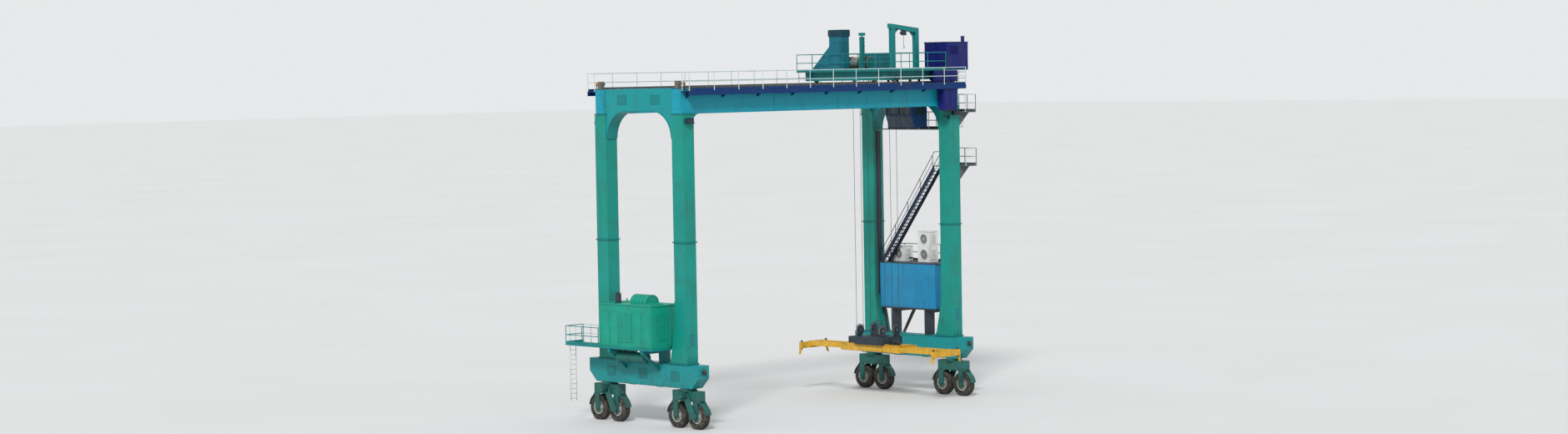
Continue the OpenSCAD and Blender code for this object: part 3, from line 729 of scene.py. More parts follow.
def new_material(name: str) -> tuple[Material, Wiring, Node]:
    """An empty material with its shader.

    Args:
        name: Its name.

    Returns:
        The material, its wiring and its Principled shader.
    """
    material = bpy.data.materials.new(name)
    material.use_nodes = True
    shader = next(n for n in material.node_tree.nodes if n.type == "BSDF_PRINCIPLED")
    return material, Wiring(material.node_tree), shader


def set_bump(w: Wiring, shader: Node, height: object, strength: float,
             distance: float) -> None:
    """Gives a shader a bump from a height.

    Args:
        w: Wiring of the material.
        shader: The shader.
        height: The height.
        strength: How strong it is.
        distance: How deep it is.
    """
    bump = w.add("ShaderNodeBump")
    bump.inputs["Strength"].default_value = strength
    bump.inputs["Distance"].default_value = distance
    w.feed(bump.inputs["Height"], height)
    w.feed(shader.inputs["Normal"], bump.outputs[0])


@dataclass(frozen=True)
class Paint:
    """A coat of paint on steel."""

    name: str
    colour: Colour
    faded: Colour
    dirt: Colour = srgb(62, 68, 66)
    rust: Colour = srgb(104, 62, 38)
    fade: float = 0.4
    streaks: float = 0.3
    grime: float = 0.28
    chips: float = 0.5
    rough: float = 0.42
    seam_axis: Optional[Axis] = None
    seam_gap: float = 2.4
    over: Optional[Colour] = None
    over_z: float = 0.0

    def make(self) -> Material:
        """Builds the material.

        Returns:
            The material.
        """
        material, w, shader = new_material(self.name)
        coat = group_in(w, weathered_coat, Paint=self.colour, Faded=self.faded, Dirt=self.dirt,
                        Rust=self.rust, Fade=self.fade, Streaks=self.streaks, Grime=self.grime,
                        Chips=self.chips, Rough=self.rough)
        if self.over is not None:
            above = w.maths("GREATER_THAN", w.part(Axis.Z), self.over_z)
            w.feed(coat.inputs["Paint"], w.mix(above, self.colour, self.over))
            w.feed(coat.inputs["Faded"], w.mix(above, self.faded, self.over))
        colour, height = coat.outputs["Color"], coat.outputs["Height"]
        if self.seam_axis is not None:
            seams = group_in(w, weld_seams, Place=w.part(self.seam_axis), Distance=self.seam_gap)
            seam = seams.outputs["Seam"]
            colour = w.mix(w.times(seam, 0.45), colour, self.dirt)
            height = w.maths("ADD", height, w.times(seam, 1.5))
        w.feed(shader.inputs["Base Color"], colour)
        w.feed(shader.inputs["Roughness"], coat.outputs["Roughness"])
        shader.inputs["Specular IOR Level"].default_value = 0.28
        shader.inputs["Coat Weight"].default_value = 0.05
        set_bump(w, shader, height, 0.35, 0.006)
        return material


@dataclass(frozen=True)
class Gritty:
    """Bare metal, rubber or plastic with dust on it."""

    name: str
    colour: Colour
    dust: Colour = srgb(136, 126, 110)
    amount: float = 0.4
    scale: float = 6.0
    rough: float = 0.5
    metal: float = 0.0
    bump: float = 0.3

    def make(self) -> Material:
        """Builds the material.

        Returns:
            The material.
        """
        material, w, shader = new_material(self.name)
        layer = group_in(w, grit, Base=self.colour, Dust=self.dust, Amount=self.amount,
                         Scale=self.scale, Rough=self.rough)
        w.feed(shader.inputs["Base Color"], layer.outputs["Color"])
        w.feed(shader.inputs["Roughness"], layer.outputs["Roughness"])
        shader.inputs["Metallic"].default_value = self.metal
        set_bump(w, shader, layer.outputs["Height"], self.bump, 0.003)
        return material


@dataclass(frozen=True)
class Grating:
    """Dark bar grating below a height, painted rails above it; the gaps between the bars are
    painted shade for the open space under them.
    """

    name: str
    bars: Colour
    # Colour of the gaps between the bars: painted shade for the open space under the grating.
    shaded_gaps: Colour
    rails: Colour
    rails_z: float

    def make(self) -> Material:
        """Builds the material.

        Returns:
            The material.
        """
        material, w, shader = new_material(self.name)
        grate = group_in(w, bar_grating)
        above = w.maths("GREATER_THAN", w.part(Axis.Z), self.rails_z)
        upright = w.maths("LESS_THAN", w.maths("ABSOLUTE", w.part(Axis.Z, "Normal")), 0.6)
        # Level faces between the bars take the gap colour, painted shade; upright faces and the
        # bars take the bar colour.
        floor = w.mix(w.most(grate.outputs["Bars"], upright), self.shaded_gaps, self.bars)
        paint = w.mix(above, floor, self.rails)
        coat = group_in(w, weathered_coat, Paint=paint, Faded=paint, Dirt=srgb(70, 66, 60),
                        Streaks=0.2)
        level = w.maths("SUBTRACT", 1.0, w.most(above, upright))
        height = w.maths("ADD", coat.outputs["Height"],
                         w.times(w.times(grate.outputs["Height"], level), 1.5))
        w.feed(shader.inputs["Base Color"], coat.outputs["Color"])
        w.feed(shader.inputs["Roughness"], coat.outputs["Roughness"])
        shader.inputs["Specular IOR Level"].default_value = 0.2
        set_bump(w, shader, height, 0.4, 0.006)
        return material


@dataclass(frozen=True)
class Glass:
    """Tinted safety glass with a little dust."""

    name: str
    tint: Colour

    def make(self) -> Material:
        """Builds the material.

        Returns:
            The material.
        """
        material, w, shader = new_material(self.name)
        layer = group_in(w, grit, Base=self.tint, Amount=0.12, Rough=0.04, Scale=3.0)
        w.feed(shader.inputs["Base Color"], layer.outputs["Color"])
        w.feed(shader.inputs["Roughness"], layer.outputs["Roughness"])
        shader.inputs["Transmission Weight"].default_value = 0.75
        shader.inputs["IOR"].default_value = 1.45
        return material


class Finish(Enum):
    """Every finish on the crane."""

    LEG = Paint("leg_green", srgb(0, 136, 122), srgb(22, 152, 142), seam_axis=Axis.Z, seam_gap=2.95)
    # The girders' green is bluer than the legs': partly painted shade, the blue cast of the shade
    # and haze on the girders.
    GIRDER = Paint("girder_green", srgb(0, 150, 172), srgb(24, 162, 182), seam_axis=Axis.X,
                   seam_gap=2.96, streaks=0.38)
    PORTAL = Paint("portal_green", srgb(0, 142, 144), srgb(26, 156, 160), seam_axis=Axis.Y,
                   seam_gap=1.9)
    STEEL = Paint("fitting_green", srgb(0, 122, 122), srgb(24, 142, 142), chips=0.7)
    POWER = Paint("power_house_green", srgb(0, 146, 122), srgb(30, 162, 140), streaks=0.4)
    ELECTRIC = Paint("electrical_house_teal", srgb(18, 128, 172), srgb(54, 148, 188), streaks=0.35)
    # Dark navy of the trolley house, its vent, the cable boxes and the end cabinet: partly navy
    # paint and partly painted shade, for the deep shade at the trolley's right end and at the
    # girder's end.
    NAVY = Paint("trolley_house_navy", srgb(0, 12, 96), srgb(18, 36, 116), streaks=0.2)
    CABIN = Paint("cabin_blue", srgb(16, 60, 110), srgb(44, 86, 134), streaks=0.2)
    MACHINE = Paint("machine_green", srgb(0, 104, 104), srgb(36, 126, 126), grime=0.5, chips=0.8)
    BOX = Paint("machine_box_teal", srgb(0, 102, 120), srgb(36, 124, 138), over=srgb(10, 60, 78),
                over_z=23.5)
    CAP = Paint("dark_cap", srgb(10, 52, 68), srgb(36, 78, 92))
    YELLOW = Paint("spreader_yellow", srgb(222, 168, 34), srgb(228, 190, 96), chips=1.0, grime=0.45,
                   streaks=0.35)
    STAIR = Paint("stair_blue", srgb(2, 28, 56), srgb(30, 54, 80), chips=0.4)
    DARK = Paint("dark_steel", srgb(36, 48, 60), srgb(68, 78, 86), chips=0.7)
    WHITE = Paint("case_white", srgb(226, 228, 226), srgb(206, 206, 200), dirt=srgb(120, 114, 102),
                  streaks=0.35, chips=0.2)
    PALE = Paint("handrail_pale", srgb(200, 210, 206), srgb(176, 186, 182), chips=0.3)
    BOGIE = Paint("bogie_green", srgb(2, 100, 92), srgb(44, 118, 110), grime=0.7, chips=1.0,
                  streaks=0.2)
    # Walkway: the dark navy below 20.44 on the floor, toe board and edge is painted shade for the
    # shadow under and along the walkway; its near-black gaps are painted shade too.
    WALK = Grating("walkway_grating", srgb(0, 50, 104), srgb(2, 14, 34), srgb(190, 204, 204), 20.44)
    DECK = Grating("deck_grating", srgb(26, 112, 110), srgb(10, 40, 42), srgb(20, 130, 128), 21.275)
    LANDING = Grating("landing_grating", srgb(90, 98, 100), srgb(26, 30, 32), srgb(60, 72, 74),
                      99.0)
    RAIL = Gritty("rail_steel", srgb(122, 118, 112), amount=0.5, rough=0.38, metal=0.85, scale=3.0)
    BARE = Gritty("bare_steel", srgb(150, 150, 148), amount=0.35, rough=0.36, metal=0.9)
    ROPE = Gritty("rope_steel", srgb(64, 62, 60), dust=srgb(96, 88, 76), rough=0.55, metal=0.6,
                  scale=20.0)
    TYRE = Gritty("tyre_rubber", srgb(34, 34, 35), dust=srgb(118, 108, 94), amount=0.55, rough=0.78,
                  scale=4.0, bump=0.5)
    RIM = Gritty("rim_pale", srgb(168, 172, 168), dust=srgb(112, 100, 84), amount=0.6, rough=0.5)
    BLACK = Gritty("black_rubber", srgb(30, 30, 31), amount=0.35, rough=0.65)
    SEAT = Gritty("seat_moulding", srgb(44, 48, 56), amount=0.2, rough=0.9, scale=14.0, bump=0.6)
    GLASS = Glass("cabin_glass", srgb(92, 122, 130))
    LENS = Glass("lamp_glass", srgb(214, 220, 216))
    AMBER = Glass("beacon_amber", srgb(230, 140, 30))

    def material(self) -> Material:
        """The material of this finish, built once.

        Returns:
            The material.
        """
        if self.value.name not in bpy.data.materials:
            return self.value.make()
        return bpy.data.materials[self.value.name]


def dress(parts: Sequence[Obj], name: str, finish: Finish,
          body: str = "crane_frame", angle: float = 35.0) -> None:
    """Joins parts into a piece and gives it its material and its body.

    Args:
        parts: The parts.
        name: Name of the piece.
        finish: Its finish.
        body: The body that it rides on.
        angle: Edges flatter than this, in degrees, are shaded smooth.
    """
    obj = joined(parts, name)
    obj.data.materials.clear()
    obj.data.materials.append(finish.material())
    take(obj)
    bpy.ops.object.shade_smooth_by_angle(angle=math.radians(angle))
    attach(obj, body)
    LOG.info("piece %s: %d faces on %s", obj.name, len(obj.data.polygons), body)


def arc(cx: float, cz: float, radius: float, start: float, end: float,
        steps: int) -> list[tuple[float, float]]:
    """Points on an arc.

    Args:
        cx: Centre across.
        cz: Centre up.
        radius: Its radius.
        start: First angle in degrees.
        end: Last angle in degrees.
        steps: Number of steps.

    Returns:
        The points.
    """
    turns = [math.radians(start + (end - start) * i / steps) for i in range(steps + 1)]
    return [(cx + radius * math.cos(turn), cz + radius * math.sin(turn)) for turn in turns]


def hatch(x: float, out: int, y: float, half: float, z0: float, z1: float, gap: float = 0.16,
          inset: float = 0.04, recess: float = 0.006, size: float = 0.014) -> list[Obj]:
    """A bolted cover on a wall that looks along X.

    Args:
        x: Where the wall stands.
        out: 1 or -1, the way it looks.
        y: Middle of the cover.
        half: Half of its width.
        z0: Its foot.
        z1: Its head.
        gap: About how far its bolts stand apart.
        inset: How far they stand inside its edge.
        recess: Depth of its field.
        size: Radius of its bolts.

    Returns:
        The parts.
    """
    front = x + out * 0.02
    made = [panel((x, y - half, z0), (front, y + half, z1), (out, 0, 0), inset + 0.01, recess,
                  0.004)]
    spots = rim(y - half + inset, y + half - inset, z0 + inset, z1 - inset, gap)
    return made + bolts([(front, a, b) for a, b in spots], (out, 0, 0), size)


def louvre(low: Point, high: Point, facing: Point, slats: int) -> list[Obj]:
    """A framed grille of sloped slats on a wall.

    Args:
        low: One corner, on the wall.
        high: The opposite corner; its depth is along the facing.
        facing: The way it looks.
        slats: Number of slats.

    Returns:
        The parts.
    """
    low, high = corners(low, high)
    made = [panel(low, high, facing, 0.05, 0.03, 0.006)]
    sideways = abs(facing[0]) > 0.5
    sign = facing[0] if sideways else facing[1]
    front = high if sign > 0 else low
    out = front.x if sideways else front.y
    step = (high.z - low.z - 0.12) / slats
    section = [(out - sign * deep, low.z + 0.06 + step * rise)
               for deep, rise in ((0.035, 0.9), (0.002, 0.15), (0.002, 0.05), (0.035, 0.75))]
    if sideways:
        slat = prism(section, Axis.Y, low.y + 0.05, high.y - 0.05)
    else:
        slat = prism(section, Axis.X, low.x + 0.05, high.x - 0.05)
    return made + spread(slat, [(0, 0, step * i) for i in range(1, slats)])


def door(low: Point, high: Point, facing: Point) -> list[Obj]:
    """A flat steel door with frame, hinges and a lever handle.

    Args:
        low: One corner, on the wall.
        high: The opposite corner.
        facing: The way it looks, along X or Y.

    Returns:
        The parts.
    """
    low, high = corners(low, high)
    made = [panel(low, high, facing, 0.07, 0.012, 0.008)]
    way = Vector(facing)
    depth = Vector((abs(way.x), abs(way.y), 0))
    side = Vector((depth.y, depth.x, 0))
    face = (low + high) / 2 + way * ((high - low).dot(depth) / 2)
    reach = side * ((high - low).dot(side) / 2)
    hinge = face - reach + side * 0.02
    for z in (low.z + 0.25, face.z, high.z - 0.25):
        made.append(rod((hinge.x, hinge.y, z - 0.06), (hinge.x, hinge.y, z + 0.06), 0.016, 8))
    grip = face + reach - side * 0.12
    made.append(rod(grip, grip + way * 0.05, 0.014, 8))
    lever = grip + way * 0.045
    made.append(rod(lever, lever - side * 0.14, 0.011, 8, 0.003))
    return made


# Sub-assemblies.

SIDES = (("left", -1), ("right", 1))
DEPTHS = (("near", -1), ("far", 1))
LEGS = tuple((f"{side}_{depth}", sx, sy) for side, sx in SIDES for depth, sy in DEPTHS)
LEG_X = 11.735
SHEAVE_RIM = ((0.27, -0.05), (0.335, -0.05), (0.34, -0.036), (0.304, -0.014), (0.304, 0.014),
              (0.34, 0.036), (0.335, 0.05), (0.27, 0.05))
ROPE_BEND = 0.3143
ROPE_R = 0.014


@dataclass
class Portals:
    """Dressing of the legs, portal beams and sills."""

    leg_y: float = 3.5
    half_x: float = 0.45
    half_y: float = 0.5
    foot_out: float = 0.52
    foot_z: float = 3.85
    top_z: float = 18.9
    splice_z: float = 11.2
    arch_r: float = 1.65
    arch_half: float = 2.93
    arch_top: float = 19.05
    sill_end: float = 4.95

    def collar(self, z: float, over: float, foot: float) -> list[Obj]:
        """A bolted flange joint round a leg at the middle of the crane, inner side towards +Y.

        Args:
            z: Height of the joint.
            over: How far the flanges stand out.
            foot: Extra depth of the leg towards the inside.

        Returns:
            The parts.
        """
        x, y0, y1 = self.half_x + over, -self.half_y - over, self.half_y + foot + over
        made = [block((-x, y0, z + s * 0.003), (x, y1, z + s * 0.032), 0.006) for s in (-1, 1)]
        spots = rim(0.035 - x, x - 0.035, y0 + 0.035, y1 - 0.035, 0.2)
        return made + bolts([(a, b, z + 0.032) for a, b in spots], (0, 0, 1), 0.022)

    def leg_fittings(self) -> None:
        """Flange joints, foot gussets, rungs and hatches, made once and set on the four legs."""
        parts = self.collar(self.splice_z, 0.07, 0.0)
        parts += self.collar(self.foot_z + 0.04, 0.06, self.foot_out)
        parts.append(block((-0.5, -0.55, self.top_z - 0.035), (0.5, 0.55, self.top_z), 0.008))
        gusset = [(-0.5, 3.88), (-0.5, 4.4), (-0.56, 3.92), (-0.56, 3.88)]
        parts += [prism(gusset, Axis.X, x - 0.012, x + 0.012) for x in (-0.32, 0.0, 0.32)]
        parts += [rod((x, -0.5, 4.9), (x, -0.56, 4.9), 0.03, 8, 0.006) for x in (-0.36, 0.36)]
        parts.append(panel((-0.25, -0.515, 5.0), (0.25, -0.498, 5.7), (0, -1, 0), 0.03, 0.006,
                           0.004))
        spots = [(x, -0.515, z) for x in (-0.22, 0.22) for z in (5.03, 5.35, 5.67)]
        first = joined(parts + bolts(spots, (0, -1, 0), 0.014), "leg_fittings")
        for name, sx, sy in LEGS:
            place = Matrix.Translation((sx * LEG_X, sy * self.leg_y, 0))
            twin = copied(first, place @ Matrix.Diagonal((1, -sy, 1, 1)))
            dress([twin], f"leg_fittings_{name}", Finish.STEEL)
        bpy.data.objects.remove(first)

    def arch_lip(self) -> None:
        """Flange along the arched underside of each portal beam, and its hatches."""
        spring, centre = self.arch_top - self.arch_r, self.arch_half - self.arch_r
        inner, outer = self.arch_r - 0.018, self.arch_r + 0.012
        lip = (arc(-centre, spring, inner, 180, 90, 20) + arc(centre, spring, inner, 90, 0, 20)
               + arc(centre, spring, outer, 0, 90, 20) + arc(-centre, spring, outer, 90, 180, 20))
        for side, sx in SIDES:
            x = sx * LEG_X
            parts = [prism(lip, Axis.X, x - 0.43, x + 0.43)]
            for y in (-1.5, 1.5):
                parts += hatch(x + sx * 0.4, sx, y, 0.42, 19.45, 20.05, 0.15)
            dress(parts, f"portal_flanges_{side}", Finish.STEEL)

    def sill_fittings(self) -> None:
        """Buffers, towing eyes, hatches and flanges of the sill beams."""
        buffer = [(0.0, 0.02), (0.13, 0.02), (0.14, 0.1), (0.12, 0.2), (0.07, 0.25), (0.0, 0.25)]
        eye = [(0.05, -0.015), (0.1, -0.015), (0.1, 0.015), (0.05, 0.015)]
        for side, sx in SIDES:
            x = sx * LEG_X
            steel, rubber = [], []
            for sy in (-1, 1):
                end = sy * self.sill_end
                steel.append(block((x - 0.2, end, 3.25), (x + 0.2, end + sy * 0.03, 3.65), 0.006))
                steel.append(turned(eye, (x, sy * 4.2, 2.38), Axis.X, 20))
                rubber.append(turned([(r, sy * t) for r, t in buffer], (x, end, 3.45), Axis.Y, 24))
            for y in (-2.9, 0.0, 2.9):
                steel += hatch(x + sx * 0.45, sx, y, 0.38, 2.85, 3.45)
            for z in (2.46, 3.83):
                steel.append(block((x - 0.48, -4.3, z - 0.012), (x + 0.48, 4.3, z + 0.012), 0.004))
            dress(steel, f"sill_fittings_{side}", Finish.STEEL)
            dress(rubber, f"sill_buffers_{side}", Finish.BLACK)

    def cable_runs(self) -> None:
        """Cable trunks on the inner faces of two legs, with bends to the sills."""
        for side, s in SIDES:
            x, face = s * LEG_X, s * (self.leg_y - self.half_y)
            parts = [panel((x - 0.16, face, 6.5), (x + 0.16, face - s * 0.11, 17.2), (0, -s, 0),
                           0.03, 0.01, 0.006)]
            for i in range(7):
                z = 7.4 + 1.5 * i
                parts.append(block((x - 0.2, face, z), (x + 0.2, face - s * 0.03, z + 0.06), 0.004))
            for off in (-0.08, 0.0, 0.08):
                bend = ((0.05, 6.6), (0.08, 6.3), (0.3, 5.6), (0.62, 4.3), (0.66, 3.86))
                parts.append(path_tube([(x + off, face - s * out, z) for out, z in bend], 0.024))
            dress(parts, f"leg_cable_trunk_{side}", Finish.DARK)

    def build(self) -> None:
        """Builds all of it."""
        self.leg_fittings()
        self.arch_lip()
        self.sill_fittings()
        self.cable_runs()


@dataclass
class Girders:
    """Flange strips, stiffeners, splices, rail clips and walkway fittings."""

    half_x: float = 12.185
    y: float = 3.5
    half_w: float = 0.4
    low: float = 18.9
    top: float = 20.4
    walk_y: float = 4.65
    walk_z: float = 20.28
    left_rail: float = 1.1
    right_rail: float = 0.8
    beacon_x: float = 11.98
    beacon_y: float = 3.98
    cabinet_low: Point = (10.15, -4.52, 18.62)
    cabinet_high: Point = (11.45, -4.0, 19.98)

    def webs(self) -> None:
        """Flanges, inner stiffeners, bolted splice plates and end hatches of both girders."""
        for name, s in DEPTHS:
            yc = s * self.y
            inner = yc - s * self.half_w
            parts = [block((-self.half_x, yc - 0.43, self.low - 0.012),
                           (self.half_x, yc + 0.43, self.low + 0.018), 0.005),
                     block((-self.half_x, yc - s * 0.43, self.top - 0.024),
                           (self.half_x, yc + s * 0.398, self.top + 0.004), 0.005)]
            rib = block((-11.11, inner, self.low + 0.03),
                        (-11.09, inner - s * 0.05, self.top - 0.03), 0.003)
            parts += spread(rib, [(1.48 * i, 0, 0) for i in range(1, 16)])
            for x in (-4.07, 4.07):
                for out in (-1, 1):
                    face = yc + out * self.half_w
                    front = face + out * 0.018
                    parts.append(block((x - 0.42, face, self.low + 0.12),
                                       (x + 0.42, front, self.low + 1.08), 0.004))
                    spots = [(x + dx, front, self.low + 0.2 + 0.16 * k)
                             for dx in (-0.34, -0.2, -0.07, 0.07, 0.2, 0.34) for k in range(6)]
                    parts += bolts(spots, (0, out, 0), 0.018)
            for end in (-1, 1):
                parts += hatch(end * self.half_x, end, yc, 0.3, self.low + 0.3, self.top - 0.3)
            dress(parts, f"girder_fittings_{name}", Finish.GIRDER)

    def rail_fixings(self) -> None:
        """Rail clips with bolts, and the rubber buffers on the end stops."""
        foot = self.top
        clip = prism([(0.028, foot), (0.14, foot), (0.14, foot + 0.02), (0.075, foot + 0.045),
                      (0.028, foot + 0.045)], Axis.X, -0.04, 0.04)
        one = joined([clip] + bolts([(0.0, 0.11, foot + 0.02)], (0, 0, 1), 0.016), "clip")
        pair = joined([one, copied(one, Matrix.Diagonal((1, -1, 1, 1)))], "clips")
        copies = spread(pair, [(-11.6 + 0.58 * i, s * self.y, 0)
                               for i in range(41) for s in (-1, 1)])
        bpy.data.objects.remove(copies.pop(0))
        dress(copies, "rail_clips", Finish.DARK)
        buffer = [(0.0, 0.0), (0.1, 0.0), (0.11, 0.06), (0.09, 0.13), (0.05, 0.16), (0.0, 0.16)]
        dress([turned([(r, -e * t) for r, t in buffer],
                      (e * (self.half_x - 0.26), s * self.y, foot + 0.32), Axis.X, 24)
               for e in (-1, 1) for s in (-1, 1)], "rail_buffers", Finish.BLACK)

    def walkways(self) -> None:
        """Post sockets, cable tray with cables, and end rails of the walkways."""
        floor = self.walk_z
        for name, s in DEPTHS:
            y = s * (self.walk_y - 0.024)
            sockets = []
            for i in range(13):
                x = (self.half_x - 0.024) * (i / 6 - 1)
                for low, high, radius, edge in ((0.0, 0.16, 0.032, 0.005),
                                                (1.06, 1.135, 0.03, 0.004)):
                    sockets.append(rod((x, y, floor + low), (x, y, floor + high), radius, 12, edge))
            for end, height in ((-1, self.left_rail), (1, self.right_rail)):
                x = end * (self.half_x - 0.03)
                sockets += railing([(x, s * (self.y + 0.5), floor),
                                    (x, s * (self.walk_y - 0.03), floor)], 2, height)
            dress(sockets, f"walkway_sockets_{name}", Finish.PALE)
            middle = s * (self.y + 0.58)
            tray = [panel((-11.6, middle - 0.12, floor - 0.13), (11.6, middle + 0.12, floor - 0.06),
                          (0, 0, -1), 0.02, 0.03, 0.004)]
            for i in range(4):
                y, z = middle - 0.07 + 0.045 * i, floor - 0.15
                tray.append(rod((-11.5, y, z), (11.5, y, z), 0.017, 8))
            dress(tray, f"cable_tray_{name}", Finish.DARK)

    def beacons(self) -> None:
        """Amber beacons on stands at the portal ends."""
        stands, lamps = [], []
        dome = [(0.0, 0.0), (0.07, 0.0), (0.072, 0.1), (0.055, 0.15), (0.0, 0.17)]
        foot, plate = self.walk_z, self.walk_z + 0.34
        for _, sx, sy in LEGS:
            x, y = sx * self.beacon_x, sy * self.beacon_y
            stands += [rod((x, y, foot), (x, y, plate), 0.03, 12, 0.005),
                       rod((x, y, plate), (x, y, plate + 0.04), 0.085, 20, 0.01)]
            lamps.append(turned(dome, (x, y, plate + 0.04), Axis.Z, 24))
        dress(stands, "beacon_stands", Finish.DARK)
        dress(lamps, "beacon_domes", Finish.AMBER)

    def end_cabinet(self) -> None:
        """The navy cabinet under the near walkway at the right end, hood, doors and brackets. Its
        dark navy is partly painted shade, for the shade at the girder's right end.
        """
        (x0, y0, z0), (x1, y1, z1) = self.cabinet_low, self.cabinet_high
        parts = [panel(self.cabinet_low, self.cabinet_high, (0, -1, 0), 0.07, 0.015, 0.02)]
        hood = [(y1 + 0.06, z1 + 0.09), (y0 - 0.07, z1 + 0.02), (y0 - 0.07, z1 - 0.02),
                (y1 + 0.06, z1 - 0.02)]
        parts.append(prism(hood, Axis.X, x0 - 0.06, x1 + 0.06, 0.006))
        for x in (x0 + 0.06, (x0 + x1) / 2 + 0.01):
            parts += door((x, y0 - 0.025, z0 + 0.08), (x + 0.58, y0 + 0.005, z1 - 0.08), (0, -1, 0))
        parts += louvre((x0 - 0.03, y0 + 0.08, z0 + 0.5), (x0 + 0.005, y1 - 0.08, z0 + 1.05),
                        (-1, 0, 0), 6)
        for x in (x0 + 0.12, x1 - 0.12):
            for z in (z0 + 0.34, z1 - 0.2):
                parts.append(block((x - 0.04, y1 - 0.02, z - 0.05), (x + 0.04, -3.89, z + 0.05),
                                   0.005))
        dress(parts, "end_cabinet", Finish.NAVY)

    def end_cables(self) -> None:
        """The gland plate under the navy cabinet and its six cables, drawn together at the leg."""
        (x0, y0, z0), (x1, y1, _) = self.cabinet_low, self.cabinet_high
        parts = [block((x0 + 0.2, y0 + 0.1, z0 - 0.05), (x1 - 0.2, y1 - 0.08, z0 + 0.01), 0.008)]
        for i in range(6):
            x, low = x0 + 0.32 + 0.13 * i, z0 - 0.03 * i
            parts.append(rod((x, -4.24, z0 - 0.1), (x, -4.24, z0 - 0.03), 0.032, 12, 0.005))
            parts.append(path_tube([(x, -4.24, z0 - 0.06), (x, -4.2, low - 0.22),
                                    (x + 0.04, -4.05, low - 0.34), (11.1, -3.96, low - 0.4),
                                    (11.36, -3.92, low - 0.4)], 0.018, 2))
        dress(parts, "end_cabinet_cables", Finish.DARK)

    def build(self) -> None:
        """Builds all of it."""
        self.end_cabinet()
        self.end_cables()
        self.webs()
        self.rail_fixings()
        self.walkways()
        self.beacons()


@dataclass
class PowerHouse:
    """Doors, louvres, silencer and roof gear of the power house."""

    x0: float = -13.535
    x1: float = -11.305
    half_y: float = 2.35
    floor: float = 4.8
    roof: float = 7.45
    stack: Point = (-13.035, 1.175)
    tank_x: float = -12.95
    tank_z: float = 4.2
    ladder_x: float = -13.0

    def walls(self) -> None:
        """Doors, louvres and corner posts on the outer side and the ends."""
        x0, floor = self.x0, self.floor
        parts = louvre((x0 - 0.05, -0.55, floor + 0.35), (x0 + 0.01, 0.55, floor + 2.1),
                       (-1, 0, 0), 16)
        for y in (-1.85, -1.05, 1.05, 1.85):
            parts += door((x0 - 0.03, y - 0.37, floor + 0.1), (x0 + 0.01, y + 0.37, floor + 2.2),
                          (-1, 0, 0))
        for s in (-1, 1):
            face, front = s * self.half_y, s * (self.half_y + 0.035)
            parts += louvre((-13.2, face, floor + 0.5), (-12.3, front, floor + 2.1), (0, s, 0), 14)
            parts += door((-12.1, face, floor + 0.1), (-11.45, front, floor + 2.15), (0, s, 0))
            y = s * (self.half_y - 0.02)
            for x in (x0 + 0.02, self.x1 - 0.02):
                parts.append(block((x - 0.035, y - 0.035, floor),
                                   (x + 0.035, y + 0.035, self.roof - 0.08), 0.008))
        dress(parts, "power_house_doors", Finish.POWER)

    def roof_gear(self) -> None:
        """Bands of the arched air intake, lifting eyes and hatches on the roof."""
        parts = []
        band = arc(-12.35, self.roof, 0.545, 0, 180, 18) + arc(-12.35, self.roof, 0.5, 180, 0, 18)
        for y in (-1.15, -0.8, -0.45, -0.1, 0.25):
            parts.append(prism(band, Axis.Y, y - 0.025, y + 0.025))
        eye = [(0.04, -0.012), (0.08, -0.012), (0.08, 0.012), (0.04, 0.012)]
        for x in (self.x0 + 0.12, self.x1 - 0.12):
            for y in (-2.2, 2.2):
                parts.append(turned(eye, (x, y, self.roof + 0.06), Axis.X, 20))
        for y in (-1.55, 1.55):
            parts.append(panel((-13.1, y - 0.45, self.roof - 0.01),
                               (-12.2, y + 0.45, self.roof + 0.05), (0, 0, 1), 0.05, 0.015, 0.01))
        dress(parts, "power_house_roof", Finish.POWER)

    def exhaust(self) -> None:
        """Silencer and rain cap on the roof."""
        x, y = self.stack
        pipe = [(0.0, 0.0), (0.19, 0.0), (0.19, 0.5), (0.16, 0.54), (0.0, 0.54)]
        cap = [(0.0, 0.0), (0.2, -0.06), (0.2, -0.045), (0.0, 0.02)]
        dress([turned(pipe, (x, y, self.roof + 0.02), Axis.Z, 32),
               turned(cap, (x, y, self.roof + 0.66), Axis.Z, 32),
               rod((x, y, self.roof + 0.5), (x, y, self.roof + 0.66), 0.015, 8)],
              "exhaust_stack", Finish.DARK)

    def tank(self) -> None:
        """Fuel tank under the platform, with straps, hangers and filler."""
        x, z = self.tank_x, self.tank_z
        parts = [rod((x, -1.3, z), (x, 1.3, z), 0.32, 32, 0.05)]
        strap = [(0.32, -0.04), (0.335, -0.04), (0.335, 0.04), (0.32, 0.04)]
        for y in (-0.8, 0.8):
            parts.append(turned(strap, (x, y, z), Axis.Y, 32))
            parts.append(block((x - 0.15, y - 0.05, z + 0.2), (x + 0.15, y + 0.05, z + 0.5), 0.01))
        parts.append(rod((x, 0.0, z + 0.3), (x, 0.0, z + 0.42), 0.06, 16, 0.01))
        dress(parts, "fuel_tank", Finish.BOGIE)

    def platform(self) -> None:
        """Railing, toe plates and access ladder of the platform."""
        floor = self.floor
        rails = [block((-13.6, 2.7 + i * 0.9, floor), (-13.57, 2.74 + i * 0.9, floor + 0.06), 0.004)
                 for i in range(4)]
        rails += railing([(-12.2, 4.05, floor), (-12.2, 5.45, floor)], 3)
        dress(rails, "power_platform_rails", Finish.PALE)
        x = self.ladder_x
        steps = [block((x + s * 0.23 - 0.006, 5.52, 1.2), (x + s * 0.23 + 0.006, 5.58, 5.9), 0.002)
                 for s in (-1, 1)]
        rung = rod((x - 0.23, 5.55, 1.35), (x + 0.23, 5.55, 1.35), 0.015, 10)
        steps += spread(rung, [(0, 0, 0.3 * i) for i in range(1, 12)])
        dress(steps, "power_platform_ladder", Finish.PALE)

    def build(self) -> None:
        """Builds all of it."""
        self.walls()
        self.roof_gear()
        self.exhaust()
        self.tank()
        self.platform()


